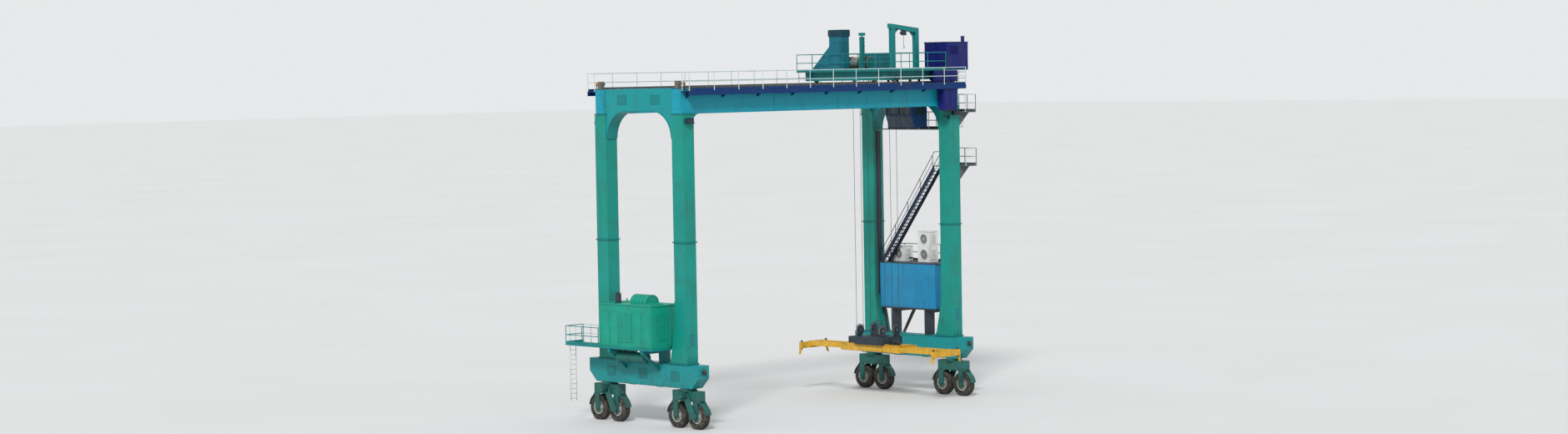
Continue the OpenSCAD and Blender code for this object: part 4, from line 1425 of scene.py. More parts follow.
@dataclass
class ElectricalHouse:
    """Pressed wall ribs, doors, coolers, stair and landings of the right frame."""

    x0: float = 11.305
    x1: float = 13.535
    half_y: float = 2.45
    floor: float = 5.6
    roof: float = 8.5
    rib_gap: float = 0.2647
    cooler_x: Point = (12.335, 13.115)
    cooler_z: float = 8.56
    cooler_high: float = 1.02
    stair_rise: float = 6.44 / 28
    stair_going: float = 4.9 / 28
    hoop_x: float = 12.62
    hoop_y: float = -3.5
    wall_x: float = 12.375

    def walls(self) -> None:
        """Pressed ribs on the walls, with doors and corner posts."""
        parts = []
        low, high, sill = self.floor + 0.12, self.roof - 0.12, self.floor + 0.08
        wave = [(0.0, -0.09), (0.028, -0.06), (0.028, 0.06), (0.0, 0.09)]
        for x, out, bare in ((self.x1, 1, range(7, 11)), (self.x0, -1, range(0))):
            rib = prism([(x + out * (a - 0.004), b - 2.25) for a, b in wave], Axis.Z, low, high)
            parts += spread(rib, [(0, self.rib_gap * i, 0) for i in range(1, 18) if i not in bare])
        for s in (-1, 1):
            y = s * self.half_y
            rib = prism([(11.5 + b, y + s * (a - 0.004)) for a, b in wave], Axis.Z, low, high)
            parts += spread(rib, [(0.27 * i, 0, 0) for i in range(1, 4)])
            parts += door((12.62, y, sill), (13.42, y + s * 0.04, self.floor + 2.15), (0, s, 0))
            for x in (self.x0, self.x1):
                parts.append(block((x - 0.04, y - 0.04, self.floor),
                                   (x + 0.04, y + 0.04, self.roof), 0.01))
        parts += door((self.x1 - 0.01, -0.42, sill), (self.x1 + 0.04, 0.42, self.floor + 2.15),
                      (1, 0, 0))
        dress(parts, "electrical_house_walls", Finish.ELECTRIC)

    def fan(self, x: float, out: int, y: float, z: float) -> list[Obj]:
        """The ring and the wire guard of a cooler's fan.

        Args:
            x: Face of the cooler.
            out: 1 or -1, the way it looks.
            y: Middle of the fan.
            z: Its height.

        Returns:
            The parts.
        """
        ring = [(0.3, 0.0), (0.345, 0.0), (0.345, out * 0.03), (0.33, out * 0.045),
                (0.3, out * 0.03)]
        made = [turned(ring, (x, y, z), Axis.X, 40)]
        for r in (0.06, 0.12, 0.18, 0.24):
            wire = [(r, out * 0.02), (r + 0.008, out * 0.02), (r + 0.008, out * 0.028),
                    (r, out * 0.028)]
            made.append(turned(wire, (x, y, z), Axis.X, 32))
        front = x + out * 0.022
        for a, b in arc(0, 0, 0.31, 0, 135, 3):
            made.append(rod((front, y - a, z - b), (front, y + a, z + b), 0.006, 6))
        return made

    def coolers(self) -> None:
        """Fans, louvres, corner seams and lids of the air conditioners, and their pipes."""
        parts, dark = [], []
        for y, fans in ((1.775, 1), (-0.525, 2)):
            top = self.cooler_z + self.cooler_high * fans
            for k in range(fans):
                z = self.cooler_z + self.cooler_high * (k + 0.5)
                for out, x in zip((-1, 1), self.cooler_x):
                    parts += self.fan(x, out, y, z)
                    core = [(0.0, 0.0), (0.3, 0.0), (0.3, out * 0.006), (0.0, out * 0.006)]
                    dark.append(turned(core, (x, y, z), Axis.X, 32))
                for s in (-1, 1):
                    face = y + s * 0.525
                    parts += louvre((12.45, face, z - 0.36), (13.0, face + s * 0.03, z + 0.36),
                                    (0, s, 0), 9)
            for x in self.cooler_x:
                for yy in (y - 0.525, y + 0.525):
                    parts.append(block((x - 0.02, yy - 0.02, self.cooler_z),
                                       (x + 0.02, yy + 0.02, top), 0.006))
            parts.append(block((12.3, y - 0.56, top - 0.05), (13.15, y + 0.56, top + 0.02), 0.012))
        dress(parts, "cooler_cases", Finish.WHITE)
        dress(dark, "cooler_cores", Finish.BLACK)
        pipes = [path_tube([(12.9, 1.2, 8.75), (12.9, 0.9, 8.75), (12.9, 0.7, 8.68),
                            (12.9, 0.6, 8.57)], 0.035),
                 path_tube([(12.7, 1.2, 8.8), (12.7, 0.85, 8.8), (12.7, 0.6, 8.7),
                            (12.7, 0.5, 8.57)], 0.03)]
        dress(pipes, "cooler_pipes", Finish.BLACK)

    def stair(self) -> None:
        """Sloped handrails, tread nosings and lugs of the stair."""
        rails = []
        for s in (-1, 1):
            x = LEG_X + s * 0.335
            foot, head = Vector((x, 2.3, 9.5)), Vector((x, -2.3, 15.68))
            for drop, radius in ((0.0, 0.022), (0.45, 0.017)):
                lift = Vector((0, 0, drop))
                rails.append(rod(foot - lift, head - lift, radius))
            rails.append(path_tube([foot, (x, 2.42, 9.4), (x, 2.47, 9.2), (x, 2.45, 8.56)], 0.022))
            rails.append(path_tube([head, (x, -2.42, 15.85), (x, -2.5, 15.9), (x, -2.9, 15.9),
                                    (x, -2.95, 15.84), (x, -2.95, 15.0)], 0.022))
        dress(rails, "stair_handrails", Finish.STAIR)
        rise, going = self.stair_rise, self.stair_going
        x, y, z = LEG_X, 2.45 - going, 8.56 + rise
        first = [block((x - 0.31, y + 0.135, z - 0.155), (x + 0.31, y + 0.165, z - 0.14), 0.004)]
        for s in (-1, 1):
            first.append(block((x + s * 0.318, y, z - 0.25), (x + s * 0.33, y + 0.12, z - 0.19),
                               0.003))
        treads = spread(joined(first, "tread"), [(0, -going * i, rise * i) for i in range(1, 27)])
        dress(treads, "stair_nosings", Finish.STAIR)

    def landings(self) -> None:
        """Rails round the landings and the ladder hoops."""
        rails = railing([(11.41, -2.9, 17.39), (11.41, -0.2, 17.39)], 4)
        for y, z in ((-4.47, 15.0), (-4.47, 18.5), (-2.48, 15.0), (-3.03, 18.5)):
            rails += railing([(12.25, y, z), (13.24, y, z)], 2)
        dress(rails, "landing_rails", Finish.PALE)
        cx, cy, flat = self.hoop_x, self.hoop_y, 0.34 / 0.3
        hoops = []
        for z in (17.5, 17.95, 18.4):
            bow = [(cx + a, cy + b * flat, z) for a, b in arc(0, 0, 0.3, -90, 90, 9)]
            hoops.append(path_tube([(self.wall_x, -3.73, z), (12.5, -3.84, z)] + bow
                                   + [(12.5, -3.16, z), (self.wall_x, -3.27, z)], 0.014, 2))
        for a, b in arc(0, 0, 0.3, -50, 50, 2):
            x, y = cx + a, cy + b * flat
            hoops.append(rod((x, y, 17.45), (x, y, 18.44), 0.012, 8))
        for s in (-1, 1):
            y = cy + s * 0.23
            hoops.append(path_tube([(self.wall_x, y, 18.4), (self.wall_x, y, 19.5), (12.3, y, 19.6),
                                    (12.2, y, 19.6)], 0.02))
        dress(hoops, "ladder_hoops", Finish.PALE)

    def build(self) -> None:
        """Builds all of it."""
        self.walls()
        self.coolers()
        self.stair()
        self.landings()


@dataclass
class Floodlights:
    """Lamp heads, fins and glass of the four floodlights."""

    y: float = 4.12
    low: float = 18.34
    high: float = 18.56

    def build(self) -> None:
        """Builds all of it."""
        frames, glass = [], []
        low, high = self.low, self.high
        for _, sx, sy in LEGS:
            x, y = sx * LEG_X, sy * self.y
            frames.append(panel((x - 0.29, y - 0.15, low - 0.05), (x + 0.29, y + 0.15, low + 0.01),
                                (0, 0, -1), 0.03, 0.02, 0.008))
            fin = block((x - 0.25, y - 0.125, high - 0.01), (x - 0.24, y + 0.125, high + 0.05),
                        0.002)
            frames += spread(fin, [(0.05 * i, 0, 0) for i in range(1, 11) if not 3 < i < 7])
            for stay in (x - 0.275, x + 0.275):
                frames.append(block((stay - 0.008, y - 0.03, low),
                                    (stay + 0.008, y + 0.03, high + 0.1), 0.003))
            glass.append(block((x - 0.25, y - 0.11, low - 0.045),
                               (x + 0.25, y + 0.11, low - 0.03), 0.004))
        dress(frames, "floodlight_frames", Finish.DARK)
        dress(glass, "floodlight_glass", Finish.LENS)


@dataclass
class Trolley:
    """Drum, gearbox, boxes, gantry, house and running gear of the trolley."""

    x: float = 8.4
    deck: float = 21.26
    drum_x: float = 6.9
    drum_z: float = 21.73
    drum_r: float = 0.41
    drum_half: float = 1.24
    groove: float = 0.0512
    sheave_x: float = 0.65
    sheave_y: float = 1.0
    sheave_z: float = 20.99
    house_low: Point = (10.75, -4.3, 21.26)
    house_high: Point = (12.75, -2.35, 23.0)
    vent: Point = (12.55, -4.05)
    box_x: Point = (5.69, 6.45)
    box_y: Point = (0.28, 1.42)
    box_cap: float = 23.9
    end_box_x: Point = (11.06, 12.72)
    end_box_z: float = 20.66
    side_box_y: float = -4.28
    side_box_z: float = 20.48
    chest_low: Point = (11.3, 2.2)
    chest_high: Point = (12.3, 3.9)
    trunk: Point = (6.2, -1.1)
    gantry_y: float = -2.45
    gantry_x: Point = (7.6, 9.8)
    hook_x: float = 8.65
    hoist_z: float = 23.5
    wheel_base: float = 1.8
    axle_z: float = 20.81

    def drum(self) -> None:
        """Grooved drum shell and the two layers of rope wound on it."""
        centre, half = (self.drum_x, 0, self.drum_z), self.drum_half
        shell = [(0.405, -half), (0.47, -half), (0.47, -1.2)]
        for i in range(46):
            y = -1.17 + self.groove * i
            shell += [(0.421, y), (0.412, y + self.groove / 2)]
        shell += [(0.47, 1.2), (0.47, half), (0.405, half)]
        dress([turned(shell, centre, Axis.Y, 56)], "drum_shell", Finish.BARE, "trolley",
              20.0)
        coils = []
        for y0, y1 in ((-1.13, -0.34), (0.34, 1.13)):
            layer = [(self.drum_r, y0)]
            for i in range(round((y1 - y0) / 0.03)):
                y = y0 + 0.03 * i
                layer += [(0.432, y + 0.008), (0.444, y + 0.015), (0.432, y + 0.022)]
            coils.append(turned(layer + [(self.drum_r, y1)], centre, Axis.Y, 56))
        dress(coils, "wound_rope", Finish.ROPE, "trolley")

    def drive(self) -> None:
        """Fins of the hoist motor, joints and bolts of the gearbox, and bearing feet."""
        x, z, deck = self.drum_x, self.drum_z, self.deck
        motor_x, motor_z = x + 0.283, deck + 0.46
        fin = [(0.225, 2.0), (0.262, 2.0), (0.262, 2.012), (0.225, 2.012)]
        parts = spread(turned(fin, (motor_x, 0, motor_z), Axis.Y, 32),
                       [(0, 0.045 * i, 0) for i in range(1, 15)])
        parts.append(block((motor_x - 0.1, 2.2, motor_z + 0.2),
                           (motor_x + 0.12, 2.5, motor_z + 0.33), 0.01))
        parts.append(block((x - 0.455, 1.42, z - 0.02), (x + 0.455, 1.97, z + 0.02), 0.006))
        spots = rim(x - 0.435, x + 0.435, 1.44, 1.95, 0.13)
        parts += bolts([(a, b, z + 0.02) for a, b in spots], (0, 0, 1), 0.014)
        for off in (-0.305, 0.0, 0.305):
            parts.append(block((x + off - 0.01, 1.43, deck), (x + off + 0.01, 1.96, z + 0.34),
                               0.003))
        cap = [(0.0, 0.0), (0.16, 0.0), (0.16, -0.05), (0.12, -0.07), (0.0, -0.07)]
        for y, way in ((1.44, 1), (1.95, -1)):
            parts.append(turned([(r, t * way) for r, t in cap], (x, y, z), Axis.Y, 28))
        for y in (-1.38, 1.38):
            for off in (-0.15, 0.15):
                parts += bolts([(x + off, y, z + 0.15)], (0, 0, 1), 0.02)
            parts.append(block((x - 0.26, y - 0.09, deck), (x + 0.26, y + 0.09, deck + 0.03),
                               0.005))
        dress(parts, "hoist_drive_details", Finish.MACHINE, "trolley")

    def sheaves(self) -> None:
        """Rope flanges on the upper sheaves, with the rope over them and from the drum."""
        rims, rope = [], []
        z, y_drum = self.sheave_z, 0.9
        for e in (-1, 1):
            x = self.x + e * self.sheave_x
            for s in (-1, 1):
                y = s * self.sheave_y
                rims.append(turned(SHEAVE_RIM, (x, y, z), Axis.Y, 48))
                over = [(a, y, b) for a, b in arc(x, z, ROPE_BEND, 180, 0, 18)]
                rope.append(path_tube(over, ROPE_R, 2))
                start = (self.drum_x + 0.05, s * (y_drum - e * 0.25), z + 0.316)
                rope.append(path_tube([start, (x, y, z + 0.314)], ROPE_R, 2))
        dress(rims, "upper_sheave_rims", Finish.BARE, "trolley")
        dress(rope, "upper_rope", Finish.ROPE, "trolley")

    def machine_box(self) -> None:
        """Door, louvre and belts of the machine box, and its cap."""
        deck, (x0, x1), (y0, y1), top = self.deck, self.box_x, self.box_y, self.box_cap
        parts = door((x0 - 0.01, y0 + 0.14, deck + 0.1), (x0 + 0.025, y1 - 0.14, deck + 1.9),
                     (-1, 0, 0))
        parts += louvre((x0 + 0.16, y0 - 0.02, deck + 1.1), (x1 - 0.15, y0 + 0.02, deck + 1.9),
                        (0, -1, 0), 9)
        for z in (deck + 0.03, deck + 2.2):
            parts.append(block((x0, y0, z), (x1, y1, z + 0.05), 0.008))
        dress(parts, "machine_box_door", Finish.BOX, "trolley")
        cap = [panel((x0 + 0.01, y0 + 0.02, top), (x1 - 0.01, y1 - 0.02, top + 0.035), (0, 0, 1),
                     0.08, 0.012, 0.006)]
        for y in (0.55, 0.85, 1.15):
            cap.append(block((x0 - 0.05, y - 0.1, top - 0.3), (x0 - 0.028, y + 0.1, top - 0.1),
                             0.004))
        dress(cap, "machine_box_cap", Finish.CAP, "trolley")

    def house(self) -> None:
        """Door, louvres, roof edge and corner posts of the trolley house, and its vent."""
        deck, (x0, y0, _), (x1, y1, _) = self.deck, self.house_low, self.house_high
        parts = door((x0 - 0.03, -3.3, deck + 0.06), (x0 + 0.005, -2.5, deck + 1.68), (-1, 0, 0))
        parts += louvre((11.0, y0 - 0.03, deck + 0.9), (11.9, y0 + 0.004, deck + 1.55), (0, -1, 0),
                        9)
        parts += louvre((10.9, y1 - 0.004, deck + 0.7), (12.5, y1 + 0.04, deck + 1.5), (0, 1, 0),
                        10)
        parts.append(block((x0 - 0.05, y0 - 0.04, deck + 1.7), (x1 + 0.04, y1 + 0.04, deck + 1.78),
                           0.02))
        for x in (x0 + 0.02, x1 - 0.02):
            for y in (y0 + 0.02, y1 - 0.02):
                parts.append(block((x - 0.03, y - 0.03, deck), (x + 0.03, y + 0.03, deck + 1.74),
                                   0.006))
        dress(parts, "trolley_house_walls", Finish.NAVY, "trolley")
        dome = [(0.0, 0.0), (0.15, 0.0), (0.15, 0.03), (0.135, 0.06), (0.0, 0.09)]
        slat = [(0.1, 0.0), (0.125, 0.0), (0.13, 0.03), (0.1, 0.03)]
        vent = [turned(dome, (*self.vent, 23.33), Axis.Z, 28)]
        vent += [turned(slat, (*self.vent, z), Axis.Z, 28) for z in (23.08, 23.15, 23.22)]
        dress(vent, "trolley_house_vent", Finish.NAVY, "trolley")

    def cable_boxes(self) -> None:
        """Navy cable boxes hung under the deck end and along its near side; their dark navy is
        partly painted shade, for the shade under the deck.
        """
        parts = []
        (x0, x1), foot, top = self.end_box_x, self.end_box_z, self.deck - 0.07
        for y in (-2.45, -0.82, 0.82, 2.45):
            parts.append(panel((x0, y - 0.74, foot), (x1, y + 0.74, top), (1, 0, 0), 0.08, 0.015,
                               0.02))
            parts += door((x1 - 0.01, y - 0.6, foot + 0.06), (x1 + 0.02, y + 0.6, top - 0.07),
                          (1, 0, 0))
            parts.append(block((x0 + 0.14, y - 0.03, foot - 0.04), (x1 - 0.12, y + 0.03, foot),
                               0.005))
        for x in (11.4, 11.9, 12.4):
            parts += louvre((x - 0.18, -3.215, foot + 0.1), (x + 0.18, -3.185, top - 0.11),
                            (0, -1, 0), 5)
        y, foot = self.side_box_y, self.side_box_z
        parts.append(panel((9.55, y, foot), (11.8, y + 0.26, top), (0, -1, 0), 0.06, 0.012, 0.015))
        for x in (9.66, 10.38, 11.1):
            parts += door((x, y - 0.02, foot + 0.06), (x + 0.62, y + 0.005, top - 0.07), (0, -1, 0))
        for x in (9.8, 10.7, 11.55):
            parts.append(block((x - 0.03, y + 0.08, foot - 0.04), (x + 0.03, y + 0.22, foot + 0.02),
                               0.005))
        dress(parts, "cable_boxes", Finish.NAVY, "trolley")

    def cable_trunk(self) -> None:
        """The cable trunk up the mast, with belts and rungs."""
        (x, y), deck = self.trunk, self.deck
        parts = [panel((x - 0.14, y - 0.11, deck), (x + 0.14, y + 0.11, 23.44), (0, -1, 0), 0.03,
                       0.008, 0.012),
                 block((x - 0.19, y - 0.16, deck), (x + 0.19, y + 0.16, deck + 0.03), 0.005)]
        for z in (21.75, 22.3, 22.85, 23.3):
            parts.append(block((x - 0.15, y - 0.12, z), (x + 0.15, y + 0.12, z + 0.03), 0.004))
        for i in range(6):
            z = 21.6 + 0.3 * i
            parts.append(path_tube([(x + 0.14, y - 0.09, z), (x + 0.2, y - 0.09, z),
                                    (x + 0.2, y + 0.09, z), (x + 0.14, y + 0.09, z)], 0.01))
        dress(parts, "mast_cable_trunk", Finish.MACHINE, "trolley")

    def gantry(self) -> None:
        """Feet, gussets and knees of the service gantry, and the chain hoist under it."""
        parts = []
        y, deck = self.gantry_y, self.deck
        for x in self.gantry_x:
            parts.append(block((x - 0.23, y - 0.23, deck), (x + 0.23, y + 0.23, deck + 0.025),
                               0.004))
            spots = [(x + a, y + b, deck + 0.025) for a in (-0.19, 0.19) for b in (-0.19, 0.19)]
            parts += bolts(spots, (0, 0, 1), 0.018)
            for s in (-1, 1):
                wing = [(x + s * 0.15, deck + 0.02), (x + s * 0.23, deck + 0.02),
                        (x + s * 0.15, deck + 0.32)]
                parts.append(prism(wing, Axis.Y, y - 0.01, y + 0.01))
        for knee in ([(7.75, 23.95), (8.2, 23.91), (7.75, 23.5)],
                     [(9.65, 23.68), (9.2, 23.73), (9.65, 23.25)]):
            parts.append(prism(knee, Axis.Y, y - 0.01, y + 0.01))
        dress(parts, "gantry_feet", Finish.STEEL, "trolley")
        x, y, z = self.hook_x, self.gantry_y - 0.03, self.hoist_z
        bend = ((0.0, 0.6), (0.0, 0.68), (0.05, 0.73), (0.05, 0.8), (0.0, 0.84), (-0.05, 0.81))
        hook = [(x + off, y, z - drop) for off, drop in bend]
        dress([block((x - 0.2, y - 0.08, z), (x + 0.2, y + 0.08, z + 0.36), 0.02),
               rod((x - 0.15, y, z + 0.15), (x - 0.31, y, z + 0.15), 0.075, 20, 0.01),
               rod((x, y, z + 0.1), (x, y, z - 0.6), 0.012, 6), path_tube(hook, 0.018)],
              "chain_hoist", Finish.DARK, "trolley")

    def running_gear(self) -> None:
        """Bearing caps, travel motors and buffer plates."""
        parts = []
        z = self.axle_z
        cap = [(0.0, 0.0), (0.13, 0.0), (0.13, 0.03), (0.09, 0.06), (0.0, 0.06)]
        for e in (-1, 1):
            x = self.x + e * self.wheel_base
            for s in (-1, 1):
                y = s * 3.72
                parts.append(turned([(r, s * t) for r, t in cap], (x, y, z), Axis.Y, 28))
                spots = [(a, y + s * 0.03, b) for a, b in arc(x, z, 0.105, 0, 300, 5)]
                parts += bolts(spots, (0, s, 0), 0.012)
            x, y = self.x + 1.6, e * 3.0
            parts.append(rod((x + 0.35, y, z + 0.04), (x + 0.02, y, z + 0.04), 0.12, 24, 0.02))
            parts.append(block((x, y - 0.14, z - 0.11), (x + 0.14, y + 0.16, z + 0.19), 0.02))
            for x, out in ((5.8, -1), (11.0, 1)):
                y = e * 3.5
                parts.append(block((x, y - 0.16, 20.68), (x + out * 0.03, y + 0.16, 21.0), 0.005))
        dress(parts, "trolley_running_gear", Finish.MACHINE, "trolley")

    def deck_gear(self) -> None:
        """Railing at the right end of the deck, and louvres and lid of the resistor chest."""
        deck = self.deck
        rails = railing([(12.72, -2.25, deck), (12.72, 4.27, deck)], 6)
        dress(rails, "trolley_deck_rail", Finish.STEEL, "trolley")
        (x0, y0), (x1, y1), low, high = self.chest_low, self.chest_high, deck + 0.25, deck + 0.85
        chest = louvre((x0 + 0.15, y0 - 0.035, low), (x1 - 0.15, y0 + 0.005, high), (0, -1, 0), 8)
        chest += louvre((x0 - 0.035, y0 + 0.2, low), (x0 + 0.005, y1 - 0.2, high), (-1, 0, 0), 8)
        chest.append(block((x0 - 0.03, y0 - 0.03, deck + 1.04), (x1 + 0.03, y1 + 0.03, deck + 1.09),
                           0.015))
        dress(chest, "resistor_chest", Finish.MACHINE, "trolley")

    def build(self) -> None:
        """Builds all of it."""
        self.drum()
        self.drive()
        self.sheaves()
        self.machine_box()
        self.house()
        self.cable_boxes()
        self.cable_trunk()
        self.gantry()
        self.running_gear()
        self.deck_gear()


@dataclass
class Cabin:
    """Glass, frames, seat, consoles and fittings of the operator's cabin."""

    x0: float = 9.74
    x1: float = 11.19
    y0: float = -2.05
    y1: float = 0.30
    low: float = 17.5
    high: float = 19.7
    wall: float = 0.06
    seat_x: float = 10.62
    seat_y: float = -0.88

    def slab(self, axis: Axis, deep: Point, across: Point, tall: Point, edge: float) -> Obj:
        """A block in a wall, from its ranges.

        Args:
            axis: The way the wall looks, X or Y.
            deep: Range along that axis.
            across: Range along the wall.
            tall: Range of heights.
            edge: Width of the chamfers.

        Returns:
            The block.
        """
        spans = (deep, across, tall) if axis is Axis.X else (across, deep, tall)
        return block([span[0] for span in spans], [span[1] for span in spans], edge)

    def glazing(self) -> None:
        """Panes and rubber frames of the windows, and the sloped panes at the feet."""
        x0, x1, y0, y1, wall = self.x0, self.x1, self.y0, self.y1, self.wall
        middle = (y0 + y1) / 2
        z0, z1 = self.low + 0.85, self.high - 0.25
        windows = [(Axis.X, x0, 0.004, y0 + 0.15, middle - 0.05),
                   (Axis.X, x0, 0.004, middle + 0.05, y1 - 0.15),
                   (Axis.Y, y0, 0.012, x0 + 0.35, x1 - 0.25),
                   (Axis.Y, y1 - wall, 0.012, x0 + 0.35, x1 - 0.65)]
        panes, frames = [], []
        for axis, face, lip, a, b in windows:
            glass = face + wall / 2
            panes.append(self.slab(axis, (glass - 0.006, glass + 0.006), (a - 0.01, b + 0.01),
                                   (z0 - 0.01, z1 + 0.01), 0.003))
            deep = (face - 0.012, face + wall + lip)
            for across, tall in (((a - 0.03, b + 0.03), (z0 - 0.03, z0 + 0.02)),
                                 ((a - 0.03, b + 0.03), (z1 - 0.02, z1 + 0.03)),
                                 ((a - 0.03, a + 0.02), (z0, z1)),
                                 ((b - 0.02, b + 0.03), (z0, z1))):
                frames.append(self.slab(axis, deep, across, tall, 0.006))
        slope = [(x0 + 0.305, self.low + 0.04), (x0 + 0.02, self.low + 0.75),
                 (x0 + 0.008, self.low + 0.745), (x0 + 0.293, self.low + 0.035)]
        for a, b in ((y0 + 0.15, -0.93), (-0.82, y1 - 0.15)):
            panes.append(prism(slope, Axis.Y, a, b))
        dress(panes, "cabin_panes", Finish.GLASS, "trolley")
        dress(frames, "cabin_window_frames", Finish.BLACK, "trolley")

    def shell(self) -> None:
        """Door, roof box, sunshade, drip rails, corner posts and rear cover."""
        x0, x1, y0, y1, low, high = self.x0, self.x1, self.y0, self.y1, self.low, self.high
        parts = door((x1 - 0.6, y1 - 0.005, low + 0.08), (x1 - 0.03, y1 + 0.035, high - 0.12),
                     (0, 1, 0))
        parts.append(block((x0 + 0.25, -1.55, high), (x0 + 0.62, -0.2, high + 0.22), 0.03, 2))
        shade = [(x0 + 0.02, high - 0.02), (x0 + 0.02, high + 0.01), (x0 - 0.2, high - 0.13),
                 (x0 - 0.2, high - 0.15)]
        parts.append(prism(shade, Axis.Y, y0 + 0.05, y1 - 0.05))
        for y in (y0 - 0.012, y1 + 0.012):
            parts.append(block((x0, y - 0.014, high - 0.06), (x1, y + 0.014, high - 0.03), 0.004))
        for y in (y0 + 0.02, y1 - 0.02):
            parts.append(block((x1 - 0.05, y - 0.03, low), (x1 + 0.01, y + 0.03, high), 0.01))
        parts.append(block((x1 - 0.005, -1.5, low + 0.9), (x1 + 0.02, -0.4, low + 1.6), 0.01))
        dress(parts, "cabin_fittings", Finish.CABIN, "trolley")

    def bars(self) -> None:
        """The grab rail beside the door and the two wipers."""
        x, y, face = self.x1 - 0.65, self.y1, self.x0
        parts = [path_tube([(x, y, 18.2), (x, y + 0.06, 18.2), (x, y + 0.06, 19.2), (x, y, 19.2)],
                           0.014)]
        for y in (-1.45, -0.3):
            parts.append(rod((face - 0.02, y, 18.32), (face - 0.02, y + 0.28, 18.8), 0.008, 6))
            parts.append(rod((face, y, 18.32), (face - 0.035, y, 18.32), 0.02, 12, 0.004))
        dress(parts, "cabin_bars", Finish.BLACK, "trolley")

    def seat(self) -> None:
        """Moulded seat on its pillar, with arm rests."""
        x, y, z = self.seat_x, self.seat_y, self.low + self.wall
        back = [(x + 0.14, z + 0.46), (x + 0.26, z + 0.46), (x + 0.36, z + 1.12),
                (x + 0.27, z + 1.14)]
        parts = [rod((x, y, z), (x, y, z + 0.4), 0.07, 20, 0.01),
                 block((x - 0.27, y - 0.26, z + 0.4), (x + 0.2, y + 0.26, z + 0.5), 0.045, 3),
                 prism(back, Axis.Y, y - 0.24, y + 0.24, 0.03)]
        for rest in (y - 0.38, y + 0.38):
            parts.append(block((x - 0.2, rest - 0.07, z + 0.58), (x + 0.2, rest + 0.07, z + 0.64),
                               0.02, 2))
        dress(parts, "operator_seat", Finish.SEAT, "trolley")

    def consoles(self) -> None:
        """Consoles with levers on both sides of the seat, and a screen in the corner."""
        x, z = self.seat_x, self.low + self.wall
        knob = [(0.0, 0.0), (0.028, 0.01), (0.032, 0.04), (0.02, 0.07), (0.0, 0.075)]
        parts = [block((self.x0 + 0.12, self.y0 + 0.12, 19.1),
                       (self.x0 + 0.16, self.y0 + 0.45, 19.35), 0.008)]
        for y in (self.seat_y - 0.62, self.seat_y + 0.62):
            parts += [panel((x - 0.42, y - 0.12, z), (x + 0.1, y + 0.12, z + 0.72), (0, 0, 1), 0.03,
                            0.01, 0.015),
                      rod((x - 0.2, y, z + 0.71), (x - 0.23, y, z + 0.85), 0.014, 10),
                      turned(knob, (x - 0.23, y, z + 0.84), Axis.Z, 16)]
        dress(parts, "operator_consoles", Finish.DARK, "trolley")

    def build(self) -> None:
        """Builds all of it."""
        self.glazing()
        self.shell()
        self.bars()
        self.seat()
        self.consoles()


